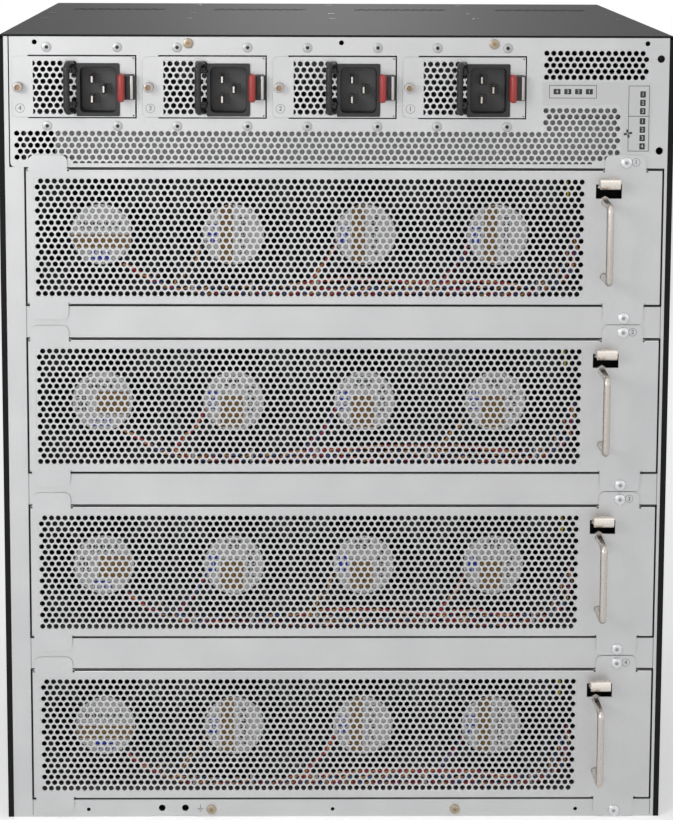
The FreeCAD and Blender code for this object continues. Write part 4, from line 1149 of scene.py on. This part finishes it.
for n in range(1, 5):
    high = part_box(f"psu_{n}_latch")[1]
    right = edge + (4 - n) * bay_pitch
    lever_x = right - latch_in
    sheet_half, spring_half = 0.4 * mm, 6.5 * mm
    eye, eye_hole = 2.6 * mm, latch_pin + 0.15 * mm
    eye_y = high.y - eye
    lever = [
        moulded_block(right - 11.8 * mm, right - 7.2 * mm, face_y - 12.8 * mm, face_y - 3.5 * mm,
                      9.2 * mm, 2.0 * mm, tab_red),
        moulded_block(right - 7.6 * mm, right - 0.9 * mm, face_y - 6.2 * mm, face_y - 0.6 * mm,
                      8.0 * mm, 0.5 * mm, inlet_black),
        moulded_block(right - 3.8 * mm, right - 2.0 * mm, face_y - 6.7 * mm, face_y - 5.9 * mm,
                      7.6 * mm, 0.15 * mm, lever_steel),
        moulded_block(lever_x - sheet_half, lever_x + sheet_half, face_y - 5 * mm, high.y - 3 * mm,
                      spring_half, 0.15 * mm, lever_steel),
        moulded_block(lever_x - sheet_half, high.x, face_y + 8 * mm, face_y + 15 * mm,
                      4 * mm, 0.4 * mm, lever_steel),
        cut_sheet("eye", ring(lever_x, eye_y, eye, 20), [ring(lever_x, eye_y, eye_hole, 20)],
                  supply_mid - spring_half, 2 * spring_half, upright=False, material=lever_steel),
    ]
    lever_piece = join(lever, f"psu_{n}_lever")
    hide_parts(f"psu_{n}_latch")
    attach(lever_piece, f"supply_{n}_latch")

# ---- Chassis screws ----
# Countersunk screws hold the power panel above and below each supply, brass-toned pan screws hold the frame
# at its top and bottom edges, and black countersunk screws hold the cover. The countersunk heads' sockets are
# painted near-black, and a grey ring round each panel screw stands for the shade in its countersink: both are
# painted shade.
screw_zinc = finish("countersunk_zinc", (0.42, 0.42, 0.42), (0.52, 0.52, 0.52), 0.8, 0.28, 0.4, relief=0.03)
screw_brown = finish("passivated_steel", (0.34, 0.28, 0.20), (0.48, 0.42, 0.33), 0.85, 0.28, 0.42,
                     relief=0.03)
screw_blackened = finish("blackened_screw", (0.012, 0.012, 0.013), (0.022, 0.022, 0.023), 0.4, 0.3, 0.42)
# Painted shade: near-black for the shade inside the sockets of the countersunk heads.
socket_black_shade = finish("socket_black_shade", (0.010, 0.010, 0.010), (0.018, 0.018, 0.018), 0.0, 0.6, 0.75, relief=0.02)
flat_places = []
for right in bay_right_ends:
    for x in (right - 12.5 * mm, right - 58.4 * mm):
        flat_places += [(x, rear_y - 0.06 * mm, z) for z in (bay_high + 5 * mm, bay_low - 5 * mm)]
flat_head = screw_head("flat_head", 3.0 * mm, 0.2 * mm, 1.3 * mm, 0.15 * mm, screw_zinc, socket_black_shade,
                       0.08 * mm)
# Painted shade: a grey ring round each countersunk head, for the shadow in its countersink.
sink_gap = cut_sheet("sink_gap", ring(0, 0, 3.3 * mm), [ring(0, 0, 2.6 * mm)], -0.04 * mm, 0.04 * mm,
                     material=socket_grey_shade)
flat_head = join([flat_head, sink_gap], "flat_head")
pan_places = [(-97.0 * mm, rear_y, panel_high.z - 4.2 * mm), (102.6 * mm, rear_y, panel_high.z - 4.2 * mm),
              (-83.4 * mm, rear_y, 5.2 * mm), (82.1 * mm, rear_y, 5.2 * mm)]
pan_head = screw_head("pan_head", 3.3 * mm, 1.6 * mm, 1.3 * mm, 0.8 * mm, screw_brown, brass, 0.6 * mm)
cover_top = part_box("outer_cover")[1].z
cover_places = [((column - 2) * 104.5 * mm, y, cover_top)
                for y in (193.5 * mm, 57.5 * mm, -14.5 * mm) for column in range(5)]
cover_head = screw_head("cover_head", 2.6 * mm, 0.2 * mm, 1.2 * mm, 0.15 * mm, screw_blackened, socket_black_shade,
                        0.08 * mm)
cover_head.data.transform(Matrix.Rotation(math.radians(-90), 4, "X"))
chassis_heads = []
for head, places in ((flat_head, flat_places), (pan_head, pan_places), (cover_head, cover_places)):
    chassis_heads += at_places(head, places)
chassis_screws = join(chassis_heads, "chassis_screw_heads")
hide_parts("chassis_screws")
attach(chassis_screws, "chassis")

# ---- Status label ----
# A pale printed label in the shape of an L at the right of the power panel. Small dark windows show one
# light for each supply, line card and fan tray; a little fan marks the trays' group.
label_pale = finish("label_pale", (0.70, 0.70, 0.70), (0.78, 0.78, 0.78), 0.1, 0.4, 0.5, relief=0.0)
window_dark = finish("window_dark", (0.02, 0.02, 0.022), (0.03, 0.03, 0.032), 0.0, 0.3, 0.4, relief=0.0)
status_sheet, ink_sheet = 0.12 * mm, 0.03 * mm
label_y = rear_y - status_sheet
ink_y = label_y - ink_sheet
status = [cut_sheet("backing", rounded([
    (134.5 * mm, 485 * mm, 0.6 * mm), (186.3 * mm, 485 * mm, 0), (186.3 * mm, 453.9 * mm, 0.6 * mm),
    (206 * mm, 453.9 * mm, 0.6 * mm), (206 * mm, 500.2 * mm, 0.6 * mm), (134.5 * mm, 500.2 * mm, 0.6 * mm),
]), [], label_y, status_sheet, material=label_pale)]
line = 0.35 * mm
for sides in ((138.8, 169.9, 489.2, 497.9), (190.9, 204.7, 477.4, 497.6), (190.9, 204.7, 454.5, 477.8)):
    x0, x1, z0, z1 = [side * mm for side in sides]
    inner = block(x0 + line, x1 - line, z0 + line, z1 - line)
    status.append(cut_sheet("thin_frame", block(x0, x1, z0, z1), [inner], ink_y, ink_sheet,
                            material=print_ink))
windows = [(143.9 + 7.05 * i, 493.6, 4.6, 3.5, str(4 - i)) for i in range(4)]
windows += [(200.3, 491.9 - 5.5 * i, 3.6, 4.1, str(i + 1)) for i in range(3)]
windows += [(200.3, 474.3 - 5.5 * i, 3.6, 4.1, str(i + 1)) for i in range(4)]
for x, z, wide, tall, text in windows:
    window = block((x - wide / 2) * mm, (x + wide / 2) * mm, (z - tall / 2) * mm, (z + tall / 2) * mm,
                   0.4 * mm)
    status += [cut_sheet("window", window, [], ink_y - 0.05 * mm, 0.05 * mm, material=window_dark),
               printed(text, x * mm, ink_y - 0.08 * mm, z * mm, 3.4 * mm, label_pale)]
petal = [(0.3, -0.5), (2.6, -1.3), (2.9, 0.2), (0.9, 0.7)]
for blade in range(4):
    turn = math.radians(90 * blade + 20)
    points = [((190.9 + u * math.cos(turn) - v * math.sin(turn)) * mm,
               (466.2 + u * math.sin(turn) + v * math.cos(turn)) * mm) for u, v in petal]
    status.append(cut_sheet("vane", points, [], ink_y - 0.06 * mm, 0.06 * mm, material=print_ink))
status_label = join(status, "status_label")
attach(status_label, "chassis")

# ---- Ground symbol ----
# Three printed bars and a stem beside the two ground lug holes.
ground_x, ground_z = -90.8 * mm, 6.0 * mm
bars = [block(ground_x - 0.15 * mm, ground_x + 0.15 * mm, ground_z, ground_z + 2.6 * mm)]
for i, half in enumerate((2.2, 1.4, 0.6)):
    z = ground_z - i * 1.0 * mm
    bars.append(block(ground_x - half * mm, ground_x + half * mm, z - 0.32 * mm, z - 0.02 * mm))
ground_symbol = cut_sheet("ground_symbol", bars[0], bars[1:], rear_y - 0.04 * mm, 0.04 * mm,
                          material=print_ink)
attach(ground_symbol, "chassis")
